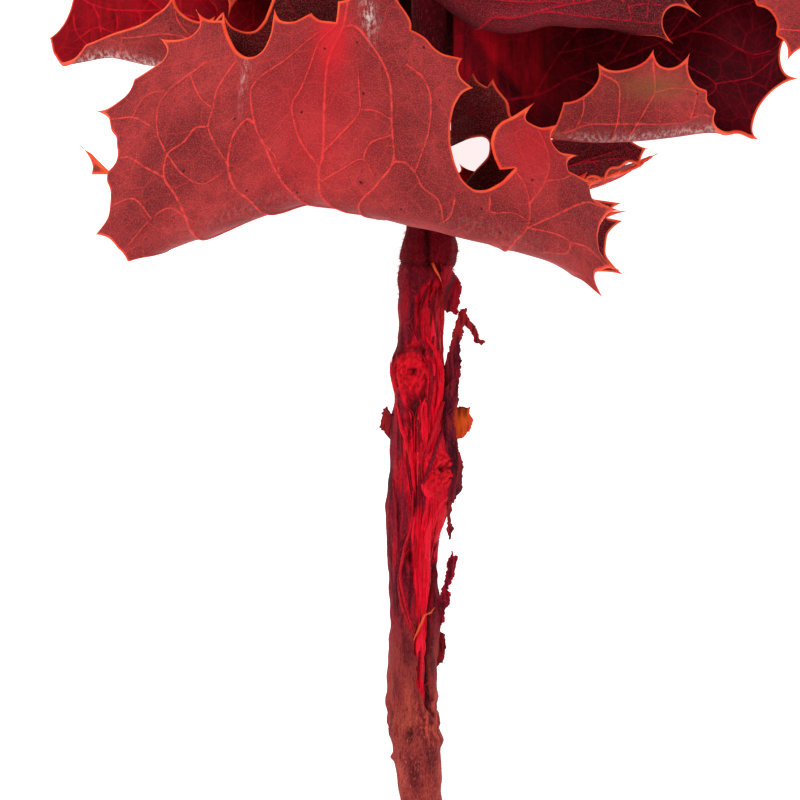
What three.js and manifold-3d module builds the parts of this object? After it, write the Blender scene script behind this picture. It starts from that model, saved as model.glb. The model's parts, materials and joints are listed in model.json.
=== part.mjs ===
// A cut and dried royal hakea: one woody stem, torn where its lower leaves were pulled off, that carries a
// head of broad, leathery, spiny-edged leaves. It lies on its side, as a cut stem does: the stem's cut end
// and the leaves at the back of the head rest on the surface. Millimetres, +Z up.
//
// The plant is drawn in its own frame and then laid down. In that frame +Y runs up the stem from y = 0, where
// the bare stem ends and the head begins, +Z is the side that faces up once it lies, and +X is to the right.
import * as THREE from "three";
import { mergeVertices } from "three/addons/utils/BufferGeometryUtils.js";
import Module from "manifold-3d";

const wasm = await Module();
wasm.setup();

// ---- Driving sizes --------------------------------------------------------------------------------------
const STEM_LENGTH = 150;       // bare stem, from its cut end to the lowest leaf
const STEM_RADIUS = 4.8;       // bare stem, between its swollen nodes
const HEAD_SIZE = 1;           // the head's leaves and their places on the stem, against the sizes drawn below
const LIE_ANGLE = 12;          // degrees that the stem rises from its cut end to the head
const LEAF_THICKNESS = 0.9;
const SEAT_GAP = 0.9;          // between a leaf's foot and the bark
const STRIP_THICKNESS = 0.8;
const STRIP_GAP = 0.5;         // between a strip of torn bark and the stem
const WOUND_DEPTH = 1.3;       // of the long open wound in the bark
const BUD_LENGTH = 11;

const STEM_TOP = 94 * HEAD_SIZE;
const STEM_TIP_RADIUS = 1.5;

// ---- Curves ---------------------------------------------------------------------------------------------
const radians = THREE.MathUtils.degToRad;
const blend = THREE.MathUtils.lerp;
const softPlus = (x) => (x > 30 ? x : Math.log1p(Math.exp(x)));
const easeIn = (t) => THREE.MathUtils.smoothstep(t, 0, 1);

// A smooth function through points [x, value], which goes on straight past both ends.
function through(points) {
  const last = points.length - 1;
  const slopeAt = (i) => {
    const [x0, v0] = points[Math.max(0, i - 1)];
    const [x1, v1] = points[Math.min(last, i + 1)];
    return (v1 - v0) / (x1 - x0);
  };
  return (x) => {
    if (x <= points[0][0]) return points[0][1] + slopeAt(0) * (x - points[0][0]);
    if (x >= points[last][0]) return points[last][1] + slopeAt(last) * (x - points[last][0]);
    const i = points.findIndex((p) => p[0] > x) - 1;
    const [x0, v0] = points[i];
    const [x1, v1] = points[i + 1];
    const t = (x - x0) / (x1 - x0);
    const leaving = slopeAt(i) * (x1 - x0) - (v1 - v0);
    const arriving = slopeAt(i + 1) * (x1 - x0) - (v1 - v0);
    return v0 + (v1 - v0) * t + t * (1 - t) * ((1 - t) * leaving - t * arriving);
  };
}

// Repeatable small variations, from 0 to 1.
function chance(seed) {
  let state = seed * 7919;
  return () => {
    state = (state * 1103515245 + 12345) % 2147483648;
    return state / 2147483648;
  };
}

// ---- Solids ---------------------------------------------------------------------------------------------
function solidOf(geometry) {
  const plain = geometry.clone();
  plain.deleteAttribute("normal");
  plain.deleteAttribute("uv");
  const merged = mergeVertices(plain, 1e-4);
  return new wasm.Manifold(new wasm.Mesh({
    numProp: 3,
    vertProperties: new Float32Array(merged.attributes.position.array),
    triVerts: new Uint32Array(merged.index.array),
  }));
}

function geometryOf(solid) {
  const mesh = solid.getMesh();
  const geometry = new THREE.BufferGeometry();
  geometry.setAttribute("position", new THREE.BufferAttribute(new Float32Array(mesh.vertProperties), 3));
  geometry.setIndex(new THREE.BufferAttribute(new Uint32Array(mesh.triVerts), 1));
  return geometry;
}

// An outline from tooth to tooth, clockwise. Each tooth is [x, y, depth]: depth is how far the edge is scooped
// in before the next tooth, as a share of the distance between them (negative bulges out, none is straight).
function scalloped(teeth) {
  const shape = new THREE.Shape();
  shape.moveTo(teeth[0][0], teeth[0][1]);
  teeth.forEach(([x, y, depth = 0], i) => {
    const [nextX, nextY] = teeth[(i + 1) % teeth.length];
    const [dx, dy] = [nextX - x, nextY - y];
    const pull = depth / 0.75;
    shape.bezierCurveTo(
      x + dx * 0.2 + dy * pull, y + dy * 0.2 - dx * pull,
      x + dx * 0.8 + dy * pull, y + dy * 0.8 - dx * pull,
      nextX, nextY);
  });
  return shape;
}

// A thin blade: a flat sheet in square cells, cut to an outline and then bent, so that each flat point (a, b)
// goes to surface(a, b). Its two faces have the same triangles, half the thickness to each side of the sheet,
// and a wall joins them along the outline.
function blade({ teeth, surface, cell, thickness, curveSegments = 3 }) {
  const cutter = new THREE.ExtrudeGeometry(scalloped(teeth), { depth: 2, bevelEnabled: false, curveSegments });
  cutter.translate(0, 0, -1);
  cutter.computeBoundingBox();
  const { min, max } = cutter.boundingBox;
  const cells = (length) => Math.ceil(length / cell);
  const [width, height] = [max.x - min.x + 1, max.y - min.y + 1];
  const slab = new THREE.BoxGeometry(width, height, 1, cells(width), cells(height), 1);
  slab.translate((min.x + max.x) / 2, (min.y + max.y) / 2, 0);
  const flat = geometryOf(solidOf(slab).intersect(solidOf(cutter)));
  const { position } = flat.attributes;
  const corners = Array.from(flat.index.array);

  const points = [];
  const numbers = new Map();
  const faces = [];
  const bend = (i) => {
    if (!numbers.has(i)) {
      const [a, b] = [position.getX(i), position.getY(i)];
      const step = 0.05;
      const alongA = surface(a + step, b).sub(surface(a - step, b));
      const alongB = surface(a, b + step).sub(surface(a, b - step));
      const offset = alongA.cross(alongB).setLength(thickness / 2);
      numbers.set(i, points.length / 6);
      points.push(...surface(a, b).add(offset).toArray(), ...surface(a, b).sub(offset).toArray());
    }
    return 2 * numbers.get(i);
  };
  const edges = new Map();
  for (let i = 0; i < corners.length; i += 3) {
    const triangle = corners.slice(i, i + 3);
    if (triangle.some((corner) => position.getZ(corner) < 0)) continue;
    const [p, q, r] = triangle.map(bend);
    faces.push(p, q, r, p + 1, r + 1, q + 1);
    for (const [from, to] of [[p, q], [q, r], [r, p]]) {
      if (!edges.delete(`${to} ${from}`)) edges.set(`${from} ${to}`, [from, to]);
    }
  }
  for (const [from, to] of edges.values()) faces.push(to, from, from + 1, to, from + 1, to + 1);

  const geometry = new THREE.BufferGeometry();
  geometry.setAttribute("position", new THREE.Float32BufferAttribute(points, 3));
  geometry.setIndex(faces);
  geometry.computeVertexNormals();
  return geometry;
}

// ---- Stem -----------------------------------------------------------------------------------------------
// The stem's half width along its length, against STEM_RADIUS: swollen where leaves grew, and slim between.
// Inside the head it thins towards its tip.
const swelling = through([
  [-150, 0.93], [-118, 0.9], [-101, 0.97], [-88, 1.02], [-74, 1], [-63, 1], [-52, 1.09], [-43, 1.18],
  [-35, 1.06], [-28, 1.07], [-21, 0.92], [-14, 0.97], [-7.6, 1.22], [-3, 1.08], [2, 0.95], [10, 0.92],
]);
const thinning = (y) => Math.max(0, y - 10) / (STEM_TOP - 10);
const stemHalfWidth = (y) => blend(STEM_RADIUS * swelling(Math.min(y, 10)), STEM_TIP_RADIUS, thinning(y));

// How far the stem wanders to the right on its way up.
const stemDrift = through([
  [-150, 0.4], [-125, -0.4], [-108, -1.4], [-100, -2.1], [-88, -2.9], [-63, -2.9], [-48, -2.5], [-28, -1.6],
  [-14, -0.7], [-7, 0.2], [0, 0.3], [30, 0], [94, 0],
]);
const STEM_SIDES = 14;
const RING_SPACING = 7;

// The surface that the plant lies on passes under the stem's cut end.
const groundSlope = Math.tan(radians(LIE_ANGLE));
const endDrop = stemHalfWidth(-STEM_LENGTH) * Math.cos(Math.PI / STEM_SIDES);
const groundAt = (y) => -endDrop - groundSlope * (y + STEM_LENGTH);

function stemSolid() {
  const rings = Math.round((STEM_LENGTH + STEM_TOP) / RING_SPACING);
  const profile = [new THREE.Vector2(0, -STEM_LENGTH)];
  for (let i = 0; i <= rings; i++) {
    const y = blend(-STEM_LENGTH, STEM_TOP, i / rings);
    profile.push(new THREE.Vector2(stemHalfWidth(y), y));
  }
  profile.push(new THREE.Vector2(0, STEM_TOP));
  const geometry = new THREE.LatheGeometry(profile, STEM_SIDES, Math.PI / STEM_SIDES);
  const position = geometry.attributes.position;
  for (let i = 0; i < position.count; i++) position.setX(i, position.getX(i) + stemDrift(position.getY(i)));
  return solidOf(geometry);
}

// The wound: a shallow trough along the upper face.
function woundSolid() {
  const wound = scalloped([
    [3.4, -14], [3.2, -30], [3.6, -44], [1.8, -62], [1.2, -84], [1.4, -96],
    [-0.6, -88], [-2.4, -76], [-4.6, -62], [-5.2, -44], [-4.4, -30], [-1.8, -16],
  ]);
  const cutter = new THREE.ExtrudeGeometry(wound, { depth: STEM_RADIUS, bevelEnabled: false, curveSegments: 1 });
  cutter.translate(0, 0, STEM_RADIUS - WOUND_DEPTH);
  return solidOf(cutter);
}

// ---- Leaf surfaces --------------------------------------------------------------------------------------
// The leaves that face up are drawn in place: a is the place across the head, and b the flat distance from
// the leaf's fold, or the height where it has none. foot is how far its foot is drawn from the stem's axis,
// and it is moved out or in from there until the foot clears the bark at height `at`.
function seated(surface, { at, foot }) {
  const shift = stemHalfWidth(at * HEAD_SIZE) + SEAT_GAP + LEAF_THICKNESS / 2 - foot * HEAD_SIZE;
  return (a, b) => {
    const p = surface(a / HEAD_SIZE, b / HEAD_SIZE).multiplyScalar(HEAD_SIZE);
    const distance = Math.hypot(p.x, p.z);
    p.x += p.x / distance * shift;
    p.z += p.z / distance * shift;
    return p;
  };
}

// A leaf folded along a line that runs across it: b > 0 is the part in front of the fold, and b < 0 the part
// behind. front and back are the directions in which the two parts leave it, and gap how far they stand apart.
const foldedLeaf = ({ fold, depth, soften, front, back, gap = () => 0, curl = 0 }) => (a, b) => {
  const ahead = soften * softPlus(b / soften);
  const behind = soften * softPlus(-b / soften);
  const apart = gap(a) / 2 * Math.tanh(b / (1.6 * soften));
  return new THREE.Vector3(
    a,
    fold(a) + front.rise * ahead + back.rise * behind,
    depth(a) + front.lean * ahead + back.lean * behind + apart - curl * ahead * ahead);
};

// A leaf held upright like a hand, bowed away from the front above and below its middle.
const uprightLeaf = ({ depth, bow, middle }) => (a, b) => (
  new THREE.Vector3(a, b, depth(a) - bow * (b - middle) * (b - middle)));

// A leaf shaped like the bowl of a spoon. It leaves the stem at height `at`, facing `facing` degrees round
// from +Z towards +X, rising by `rise` degrees at its foot and by `lift` degrees at its tip. Its width bends
// round to the radius `wrap`, and more tightly at the foot, which clasps the stem.
const CLASP = 2.4;
const MIDLINE_STEPS = 60;
function spoonLeaf({ at, facing, length, rise, lift, wrap }) {
  const foot = stemHalfWidth(at) + SEAT_GAP + LEAF_THICKNESS;
  const midline = [[foot, 0, rise]];
  for (let i = 1; i <= MIDLINE_STEPS; i++) {
    const [r, y] = midline[i - 1];
    const angle = blend(rise, lift, easeIn(i / MIDLINE_STEPS));
    const step = length / MIDLINE_STEPS;
    midline.push([r + Math.cos(radians(angle)) * step, y + Math.sin(radians(angle)) * step, angle]);
  }
  const midlineAt = (b) => {
    const t = THREE.MathUtils.clamp(b / length, -0.05, 1.05) * MIDLINE_STEPS;
    const i = THREE.MathUtils.clamp(Math.floor(t), 0, MIDLINE_STEPS - 1);
    return midline[i].map((value, k) => value + (midline[i + 1][k] - value) * (t - i));
  };
  const turn = radians(facing);
  return (a, b) => {
    const [r, y, angle] = midlineAt(b);
    const radius = blend(foot * CLASP, wrap, easeIn(b / (0.4 * length)));
    const inward = radius * (1 - Math.cos(a / radius));
    const across = radius * Math.sin(a / radius);
    const out = r - inward * Math.sin(radians(angle));
    return new THREE.Vector3(
      out * Math.sin(turn) + across * Math.cos(turn) + stemDrift(at),
      at + y + inward * Math.cos(radians(angle)),
      out * Math.cos(turn) - across * Math.sin(turn));
  };
}

// The same surface where it is pressed flat by the surface that the plant lies on. A leaf in layer 1 lies on
// those in layer 0.
const PRESS_SOFTNESS = 2.4;
const LAYER_HEIGHT = 2.6;
const pressed = (surface, layer) => (a, b) => {
  const p = surface(a, b);
  const level = groundAt(p.y) + LEAF_THICKNESS * 0.6 + layer * LAYER_HEIGHT;
  p.z = level + PRESS_SOFTNESS * softPlus((p.z - level) / PRESS_SOFTNESS);
  return p;
};

// A broad leaf's outline, with its foot at the origin and its tip at +b.
const FOOT_HALF_WIDTH = 4.5;
const LOBE_SPREAD = 290;        // degrees round the blade, from its first tooth to its last
function broadTeeth({ width, length, count, seed }) {
  const random = chance(seed);
  const teeth = [[-FOOT_HALF_WIDTH, 0, 0.1]];
  for (let i = 0; i < count; i++) {
    const turn = radians(LOBE_SPREAD * ((i + 0.5) / count - 0.5));
    const stretch = 0.95 + 0.1 * random();
    teeth.push([
      width / 2 * Math.sin(turn) * stretch,
      length * (0.48 + 0.52 * Math.cos(turn) * stretch),
      i === count - 1 ? 0.1 : 0.16 + 0.16 * random()]);
  }
  teeth.push([FOOT_HALF_WIDTH, 0]);
  return teeth;
}

// ---- The leaves that face up ----------------------------------------------------------------------------
// The big leaf over the foot of the head. It leaves the stem, runs out over its fold and turns up, so that its
// underside faces up. Its fold sags to a drooping lobe on each side.
const frontFold = through([
  [-62, -12], [-57, -9.2], [-49.5, -5], [-38, -1.8], [-29, 1.3], [-22, 2.8], [-14, 1.4], [-6, -0.6], [1, -2],
  [8, -3.6], [16, -5.7], [24, -8], [28.6, -10.4], [32, -14], [37, -19],
]);
const frontLeaf = foldedLeaf({
  fold: frontFold,
  depth: through([
    [-66, 14], [-57, 21], [-46, 28], [-34, 34], [-20, 38.5], [-8, 40], [4, 39], [16, 35], [26, 29], [38, 16]]),
  soften: 3,
  front: { rise: 0.985, lean: 0.16 },
  back: { rise: 0.13, lean: -0.99 },
  curl: 0.0022,
});
const onFront = (x, y, depth) => [x, (y - frontFold(x)) / 0.985, depth];
const frontTeeth = [
  onFront(-57, -7.8, 0.15), onFront(-62.6, -1.7, 0.2), onFront(-63.4, 9.6, 0.02), onFront(-65.8, 15.4, 0.1),
  onFront(-58.6, 12, 0.05), onFront(-60, 19, 0.05), onFront(-63, 21.8, 0.18), onFront(-56, 29, 0.38),
  onFront(-50.8, 35.7, 0.3), onFront(-43.6, 41, 0.16), onFront(-38.4, 39.7, 0.88), onFront(-28.9, 40.7, 0.2),
  onFront(-21.9, 40.4, 0.3), onFront(-17, 42.8, 0.18), onFront(-13.4, 45, 0.12), onFront(-7, 47, 0.12),
  onFront(-3.1, 37.5, 0.1), onFront(-0.2, 35.8, 0.25), onFront(6.3, 32.1, 0.3), onFront(8.2, 26.3, 0.53),
  onFront(16, 11.1, -0.42), onFront(19.6, 23.4, 0.34), onFront(24.3, 19.7, 0.28), onFront(28.1, 13.3, 0.1),
  onFront(32.2, 8.2, 0.1), onFront(37.3, 2.9, 0.33), onFront(37.2, -8.7, 0.16), onFront(32.2, -13.4, 0.12),
  [27, -9, 0.14], [19, -19, 0.14], [9, -27, 0.06], [4.6, -32.8], [-4.6, -32.8, 0.06], [-16, -30, 0.14],
  [-33, -25, 0.16], [-50, -13, 0.16],
];

// The leaf on the right: its inner face shows behind, and its lower edge is turned up in front as a flap.
const rightFold = through([
  [4, 15], [14, 17.6], [24, 15.6], [32, 14.6], [40, 14.8], [48, 15.8], [55, 17.2], [62, 19], [72, 24]]);
const rightLeaf = foldedLeaf({
  fold: rightFold,
  depth: through([[4, 5], [16, 7], [30, 10], [44, 12], [58, 11], [72, 6]]),
  soften: 2.6,
  front: { rise: 0.96, lean: 0.12 },
  back: { rise: 0.97, lean: -0.2 },
  gap: through([[4, 3], [16, 8], [28, 15], [44, 16], [55, 12], [64, 6], [74, 2]]),
});
const onRightFlap = (x, y, depth) => [x, (y - rightFold(x)) / 0.96, depth];
const onRightWall = (x, y, depth) => [x, (rightFold(x) - y) / 0.97, depth];
const rightTeeth = [
  [5.4, -0.6], [14, -0.4, 0.05], [23, 0.4, 0.02], onRightFlap(26, 23.3, 0.16), onRightFlap(33, 29.4, 0.12),
  onRightFlap(42.4, 31.7, 0.3), onRightFlap(48.9, 31, 0.12), onRightFlap(52.3, 25, 0.1), onRightFlap(54, 21.4, 0.1),
  [56.4, 0.6, 0.08], onRightWall(59.2, 20, 0.1), onRightWall(62.4, 21.4, 0.12), onRightWall(64.6, 24, 0.14),
  onRightWall(69.9, 28.5, 0.2), onRightWall(69.6, 38, 0.16), onRightWall(72, 47, 0.18), onRightWall(64, 54, 0.18),
  onRightWall(53, 57, 0.18), onRightWall(41, 57, 0.2), onRightWall(30, 53, 0.18), onRightWall(19, 45, 0.12),
  onRightWall(5.4, 30),
];

// The leaf on the left, built the same way round the other side.
const leftFold = through([
  [-74, 33], [-70, 31.4], [-66, 31], [-60, 31.2], [-53, 29], [-45, 28], [-34, 25.6], [-20, 22.5], [-4, 20]]);
const leftLeaf = foldedLeaf({
  fold: leftFold,
  depth: through([[-74, 2], [-64, 8], [-54, 12], [-42, 14], [-30, 12], [-16, 9], [-4, 5]]),
  soften: 2.2,
  front: { rise: 0.97, lean: 0.1 },
  back: { rise: 0.97, lean: -0.24 },
  gap: through([[-74, 2], [-66, 6], [-56, 11], [-44, 15], [-30, 13], [-16, 8], [-4, 3]]),
});
const onLeftFlap = (x, y, depth) => [x, (y - leftFold(x)) / 0.97, depth];
const onLeftWall = (x, y, depth) => [x, (leftFold(x) - y) / 0.97, depth];
const leftTeeth = [
  [-70.4, 0, 0.06], onLeftFlap(-65.4, 34.4, 0.08), onLeftFlap(-51.8, 39.8, 0.1), onLeftFlap(-48.3, 42.9, 0.28),
  onLeftFlap(-38, 39.6, 0.2), onLeftFlap(-28, 37, 0.14), onLeftFlap(-16, 30, 0.1), [-5.4, 0.6],
  onLeftWall(-5.4, 36, 0.1), onLeftWall(-16, 52, 0.18), onLeftWall(-27, 62, 0.18), onLeftWall(-39, 67, 0.18),
  onLeftWall(-51, 66, 0.18), onLeftWall(-62, 60, 0.18), onLeftWall(-70, 51, 0.2), onLeftWall(-72.8, 36.5, 0.1),
  onLeftWall(-72.6, 34, 0.1),
];

// The leaf above the big one, on the right of the stem: it turns up over its fold in the same way.
const upperFold = through([
  [-8, 47], [2, 43], [12, 38.6], [20, 36.6], [28, 36.4], [36, 36], [42, 34.6], [46, 32.6], [54, 29]]);
const upperLeaf = foldedLeaf({
  fold: upperFold,
  depth: through([[-10, 22], [0, 27], [12, 30], [24, 30], [36, 26], [46, 19], [54, 12]]),
  soften: 2.6,
  front: { rise: 0.96, lean: 0.24 },
  back: { rise: 0.22, lean: -0.96 },
  curl: 0.003,
});
const onUpper = (x, y, depth) => [x, (y - upperFold(x)) / 0.96, depth];
const upperTeeth = [
  onUpper(45.6, 34.2, 0.12), [37, -9, 0.12], [26, -17, 0.1], [13, -24.5, 0.06], [6, -25.5], [0, -23, 0.06],
  [-5, -10, 0.1], onUpper(-9, 50, 0.16), onUpper(-10, 62, 0.2), onUpper(-2, 70, 0.2), onUpper(9, 75, 0.2),
  onUpper(21, 76, 0.2), onUpper(33, 71, 0.2), onUpper(42, 62, 0.2), onUpper(46.5, 51, 0.18), onUpper(50.4, 40.7, 0.3),
];

// Two upright leaves above them, one on each side of the stem.
const farRightLeaf = uprightLeaf({
  depth: through([[4, 8], [20, 10], [40, 12], [60, 15.5], [74, 17], [88, 13]]), bow: 0.006, middle: 50 });
const farRightTeeth = [
  [5.8, 50], [5.8, 56.6, 0.06], [17, 61, 0.16], [31, 66, 0.2], [43, 71, 0.2], [56, 74, 0.2], [69, 72, 0.2],
  [80, 65, 0.2], [86, 54, 0.2], [84.4, 42, 0.18], [78, 33.6, 0.14], [70.4, 32.6, 0.12], [68.4, 36.4, 0.14],
  [64.5, 42.2, 0.1], [59, 46.4, 0.1], [48, 47, 0.1], [32, 46.6, 0.06], [16, 48],
];
const upperLeftLeaf = uprightLeaf({
  depth: through([[-60, 8], [-46, 14], [-34, 17], [-20, 15], [-4, 8]]), bow: 0.008, middle: 56 });
const upperLeftTeeth = [
  [-5.4, 54, 0.06], [-16, 50, 0.1], [-26, 43.4, 0.16], [-30.4, 42, 0.3], [-39.6, 41, 0.2], [-45, 47.4, 0.2],
  [-54, 50, 0.2], [-56.6, 61, 0.2], [-51, 71, 0.2], [-41, 77, 0.2], [-29, 78, 0.2], [-18, 73, 0.14], [-5.4, 62],
];

const drawnLeaves = [
  { name: "leaf_front", teeth: frontTeeth, leaf: frontLeaf, at: -2, foot: 6.3, cell: 7 },
  { name: "leaf_right", teeth: rightTeeth, leaf: rightLeaf, at: 14, foot: 6.2, cell: 6 },
  { name: "leaf_left", teeth: leftTeeth, leaf: leftLeaf, at: 20, foot: 6, cell: 6 },
  { name: "leaf_upper_right", teeth: upperTeeth, leaf: upperLeaf, at: 46, foot: 5.4, cell: 7 },
  { name: "leaf_far_right", teeth: farRightTeeth, leaf: farRightLeaf, at: 53, foot: 6.4, cell: 9 },
  { name: "leaf_upper_left", teeth: upperLeftTeeth, leaf: upperLeftLeaf, at: 58, foot: 6.4, cell: 9 },
];

// ---- The other leaves -----------------------------------------------------------------------------------
// The lowest of them are at the back of the head, where the surface presses them flat.
const backLeaves = [
  { name: "leaf_back_right", at: 6, facing: 138, length: 46, width: 50, rise: -2, lift: 24, wrap: 70, count: 13 },
  { name: "leaf_back_left", at: 12, facing: -138, length: 58, width: 60, rise: 0, lift: 28, wrap: 60, count: 13 },
  { name: "leaf_back_upper", at: 24, facing: 176, length: 78, width: 88, rise: 14, lift: 54, wrap: 66, count: 17 },
  {
    name: "leaf_middle_back", layer: 1,
    at: 45, facing: -164, length: 66, width: 70, rise: 12, lift: 56, wrap: 46, count: 13,
  },
];
const highLeaves = [
  { name: "leaf_high_right", at: 62, facing: 112, length: 64, width: 62, rise: 16, lift: 62, wrap: 38, count: 11 },
  { name: "leaf_high_left", at: 66, facing: -112, length: 60, width: 56, rise: 20, lift: 62, wrap: 36, count: 11 },
  { name: "leaf_high_front", at: 73, facing: 16, length: 52, width: 50, rise: 30, lift: 68, wrap: 32, count: 11 },
  { name: "leaf_high_back", at: 79, facing: 168, length: 50, width: 48, rise: 36, lift: 72, wrap: 29, count: 11 },
  { name: "leaf_inner_left", at: 85, facing: -60, length: 38, width: 34, rise: 48, lift: 80, wrap: 18, count: 9 },
  { name: "leaf_inner_right", at: 89, facing: 84, length: 30, width: 26, rise: 54, lift: 84, wrap: 15, count: 9 },
];

// ---- Torn bark ------------------------------------------------------------------------------------------
// Strips that stand off the stem's side, each hanging on by its root. An outline's first number is the
// distance out from the bark. depth is the strip's place from back to front, and lean how much it comes
// forward for each millimetre up the stem.
const strips = [
  { name: "bark_flap_top", side: 1, depth: 1.6, lean: -0.04, outline: [
    [0, -8.4], [0.5, -11], [1.4, -14], [1.8, -16.4], [0.9, -15.2], [0.5, -14.9], [0.1, -12], [0, -10.4]] },
  { name: "bark_strip_forked", side: 1, depth: -0.4, lean: 0.04, outline: [
    [0, -33.5], [0, -28], [0.7, -22], [2, -15.6], [3, -15], [3.8, -16.6], [5.6, -19.2], [7, -22], [5.4, -21.4],
    [4.2, -19.2], [3.1, -18.4], [2.2, -24], [2, -30], [1.4, -34]] },
  { name: "bark_strip_right", side: 1, depth: 2, lean: 0, outline: [
    [0, -31], [1.8, -30], [2.4, -33], [1.6, -39], [2.2, -42.5], [3.2, -46], [3.2, -50], [1.9, -53], [2.3, -57.5],
    [1.6, -59.4], [0.8, -57], [0.8, -52], [0, -46], [0, -38]] },
  { name: "bark_flake", side: 1, depth: -1.8, lean: 0, outline: [
    [0.3, -34.6], [4.4, -34], [5, -36.8], [3.7, -39.4], [1.7, -40.6], [0.3, -38.4]] },
  { name: "bark_strip_splayed", side: 1, depth: 1, lean: 0.08, outline: [
    [0, -78], [0, -70], [1.2, -64.6], [2.2, -61.5], [3.4, -63], [2.5, -66.4], [1.7, -69], [2.1, -71],
    [1, -74]] },
  { name: "bark_sliver_low", side: 1, depth: -0.8, lean: 0, outline: [
    [0, -77], [1, -78.4], [1, -82], [0.2, -84.4]] },
  { name: "bark_sliver_left", side: -1, depth: 0.6, lean: 0, outline: [
    [0.2, -41], [1.3, -38], [1.2, -35], [0.4, -33.8], [0.2, -36.6]] },
];
const stripSurface = ({ side, depth, lean, outline }) => (a, b) => new THREE.Vector3(
  stemDrift(b) + side * (stemHalfWidth(b) + STRIP_GAP + a),
  b,
  side * (depth + lean * (b - outline[0][1])));

// ---- The plant, laid down -------------------------------------------------------------------------------
const dull = (color, roughness) => new THREE.MeshStandardMaterial({ color, roughness, metalness: 0 });
const plant = new THREE.Group();
function add(name, geometry, material) {
  const mesh = new THREE.Mesh(geometry, material);
  mesh.name = name;
  plant.add(mesh);
}

add("stem", geometryOf(stemSolid().subtract(woundSolid())), dull(0x6e2a2a, 0.8));

for (const { name, teeth, leaf, at, foot, cell } of drawnLeaves) {
  const sized = teeth.map(([a, b, depth]) => [a * HEAD_SIZE, b * HEAD_SIZE, depth]);
  const surface = seated(leaf, { at, foot });
  add(name, blade({ teeth: sized, surface, cell, thickness: LEAF_THICKNESS }), dull(0x9c3236, 0.6));
}

[...backLeaves, ...highLeaves].forEach((drawn, i) => {
  const [at, length, width, wrap] = [drawn.at, drawn.length, drawn.width, drawn.wrap].map((size) => size * HEAD_SIZE);
  const teeth = broadTeeth({ width, length, count: drawn.count, seed: i + 1 });
  const spoon = spoonLeaf({ ...drawn, at, length, wrap });
  const surface = backLeaves.includes(drawn) ? pressed(spoon, drawn.layer ?? 0) : spoon;
  const solid = blade({ teeth, surface, cell: 9, thickness: LEAF_THICKNESS, curveSegments: 2 });
  add(drawn.name, solid, dull(0x8a0a1c, 0.45));
});

for (const strip of strips) {
  const surface = stripSurface(strip);
  const solid = blade({ teeth: strip.outline, surface, cell: 5, thickness: STRIP_THICKNESS, curveSegments: 1 });
  add(strip.name, solid, dull(strip.name === "bark_flake" ? 0xd8552a : 0x5c2126, 0.75));
}

// The bud that ends the stem, with its own small scales closed.
const bud = new THREE.LatheGeometry(
  [[0, 0], [0.6, 0.03], [0.95, 0.27], [0.85, 0.55], [0.45, 0.85], [0, 1]].map(([r, y]) => (
    new THREE.Vector2(r * 0.25 * BUD_LENGTH, STEM_TOP + 0.4 + y * BUD_LENGTH))), 8);
add("end_bud", bud, dull(0x8a0a1c, 0.5));

// Laid down, the cut end and the pressed leaves rest at z = 0, and the origin is at the middle of the box.
plant.rotation.x = radians(LIE_ANGLE);
const box = new THREE.Box3().setFromObject(plant, true);
const middle = box.getCenter(new THREE.Vector3());
plant.position.set(-middle.x, -middle.y, -box.min.z);
const part = new THREE.Group();
part.add(plant);
export default part;
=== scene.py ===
import json
import math

import bpy
import numpy as np
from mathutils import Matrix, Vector, noise
from mathutils.geometry import delaunay_2d_cdt

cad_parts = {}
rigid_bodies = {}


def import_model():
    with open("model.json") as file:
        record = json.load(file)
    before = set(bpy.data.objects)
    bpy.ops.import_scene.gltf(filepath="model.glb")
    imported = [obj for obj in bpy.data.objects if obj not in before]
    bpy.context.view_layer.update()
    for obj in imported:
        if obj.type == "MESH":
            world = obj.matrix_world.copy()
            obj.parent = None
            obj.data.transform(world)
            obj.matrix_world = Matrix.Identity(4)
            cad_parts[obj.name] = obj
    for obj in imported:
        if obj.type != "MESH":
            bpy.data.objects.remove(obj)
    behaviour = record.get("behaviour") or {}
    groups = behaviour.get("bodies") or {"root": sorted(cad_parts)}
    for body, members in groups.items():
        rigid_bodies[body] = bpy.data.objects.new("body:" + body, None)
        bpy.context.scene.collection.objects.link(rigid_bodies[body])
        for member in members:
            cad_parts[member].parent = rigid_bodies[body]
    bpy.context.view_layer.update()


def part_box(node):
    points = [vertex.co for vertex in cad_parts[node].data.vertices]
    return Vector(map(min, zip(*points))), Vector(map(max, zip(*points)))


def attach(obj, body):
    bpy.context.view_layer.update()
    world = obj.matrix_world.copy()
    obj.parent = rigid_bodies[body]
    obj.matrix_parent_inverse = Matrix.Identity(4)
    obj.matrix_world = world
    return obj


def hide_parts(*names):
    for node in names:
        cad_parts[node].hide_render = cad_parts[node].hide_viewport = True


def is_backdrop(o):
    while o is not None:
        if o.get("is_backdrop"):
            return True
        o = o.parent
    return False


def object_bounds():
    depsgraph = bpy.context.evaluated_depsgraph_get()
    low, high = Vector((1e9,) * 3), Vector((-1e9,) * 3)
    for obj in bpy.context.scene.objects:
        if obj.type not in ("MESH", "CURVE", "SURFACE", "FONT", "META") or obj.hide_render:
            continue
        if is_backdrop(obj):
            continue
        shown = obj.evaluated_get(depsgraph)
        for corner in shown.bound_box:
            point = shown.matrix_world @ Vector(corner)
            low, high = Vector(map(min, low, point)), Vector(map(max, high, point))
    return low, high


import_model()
bpy.ops.object.select_all(action="DESELECT")

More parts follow.
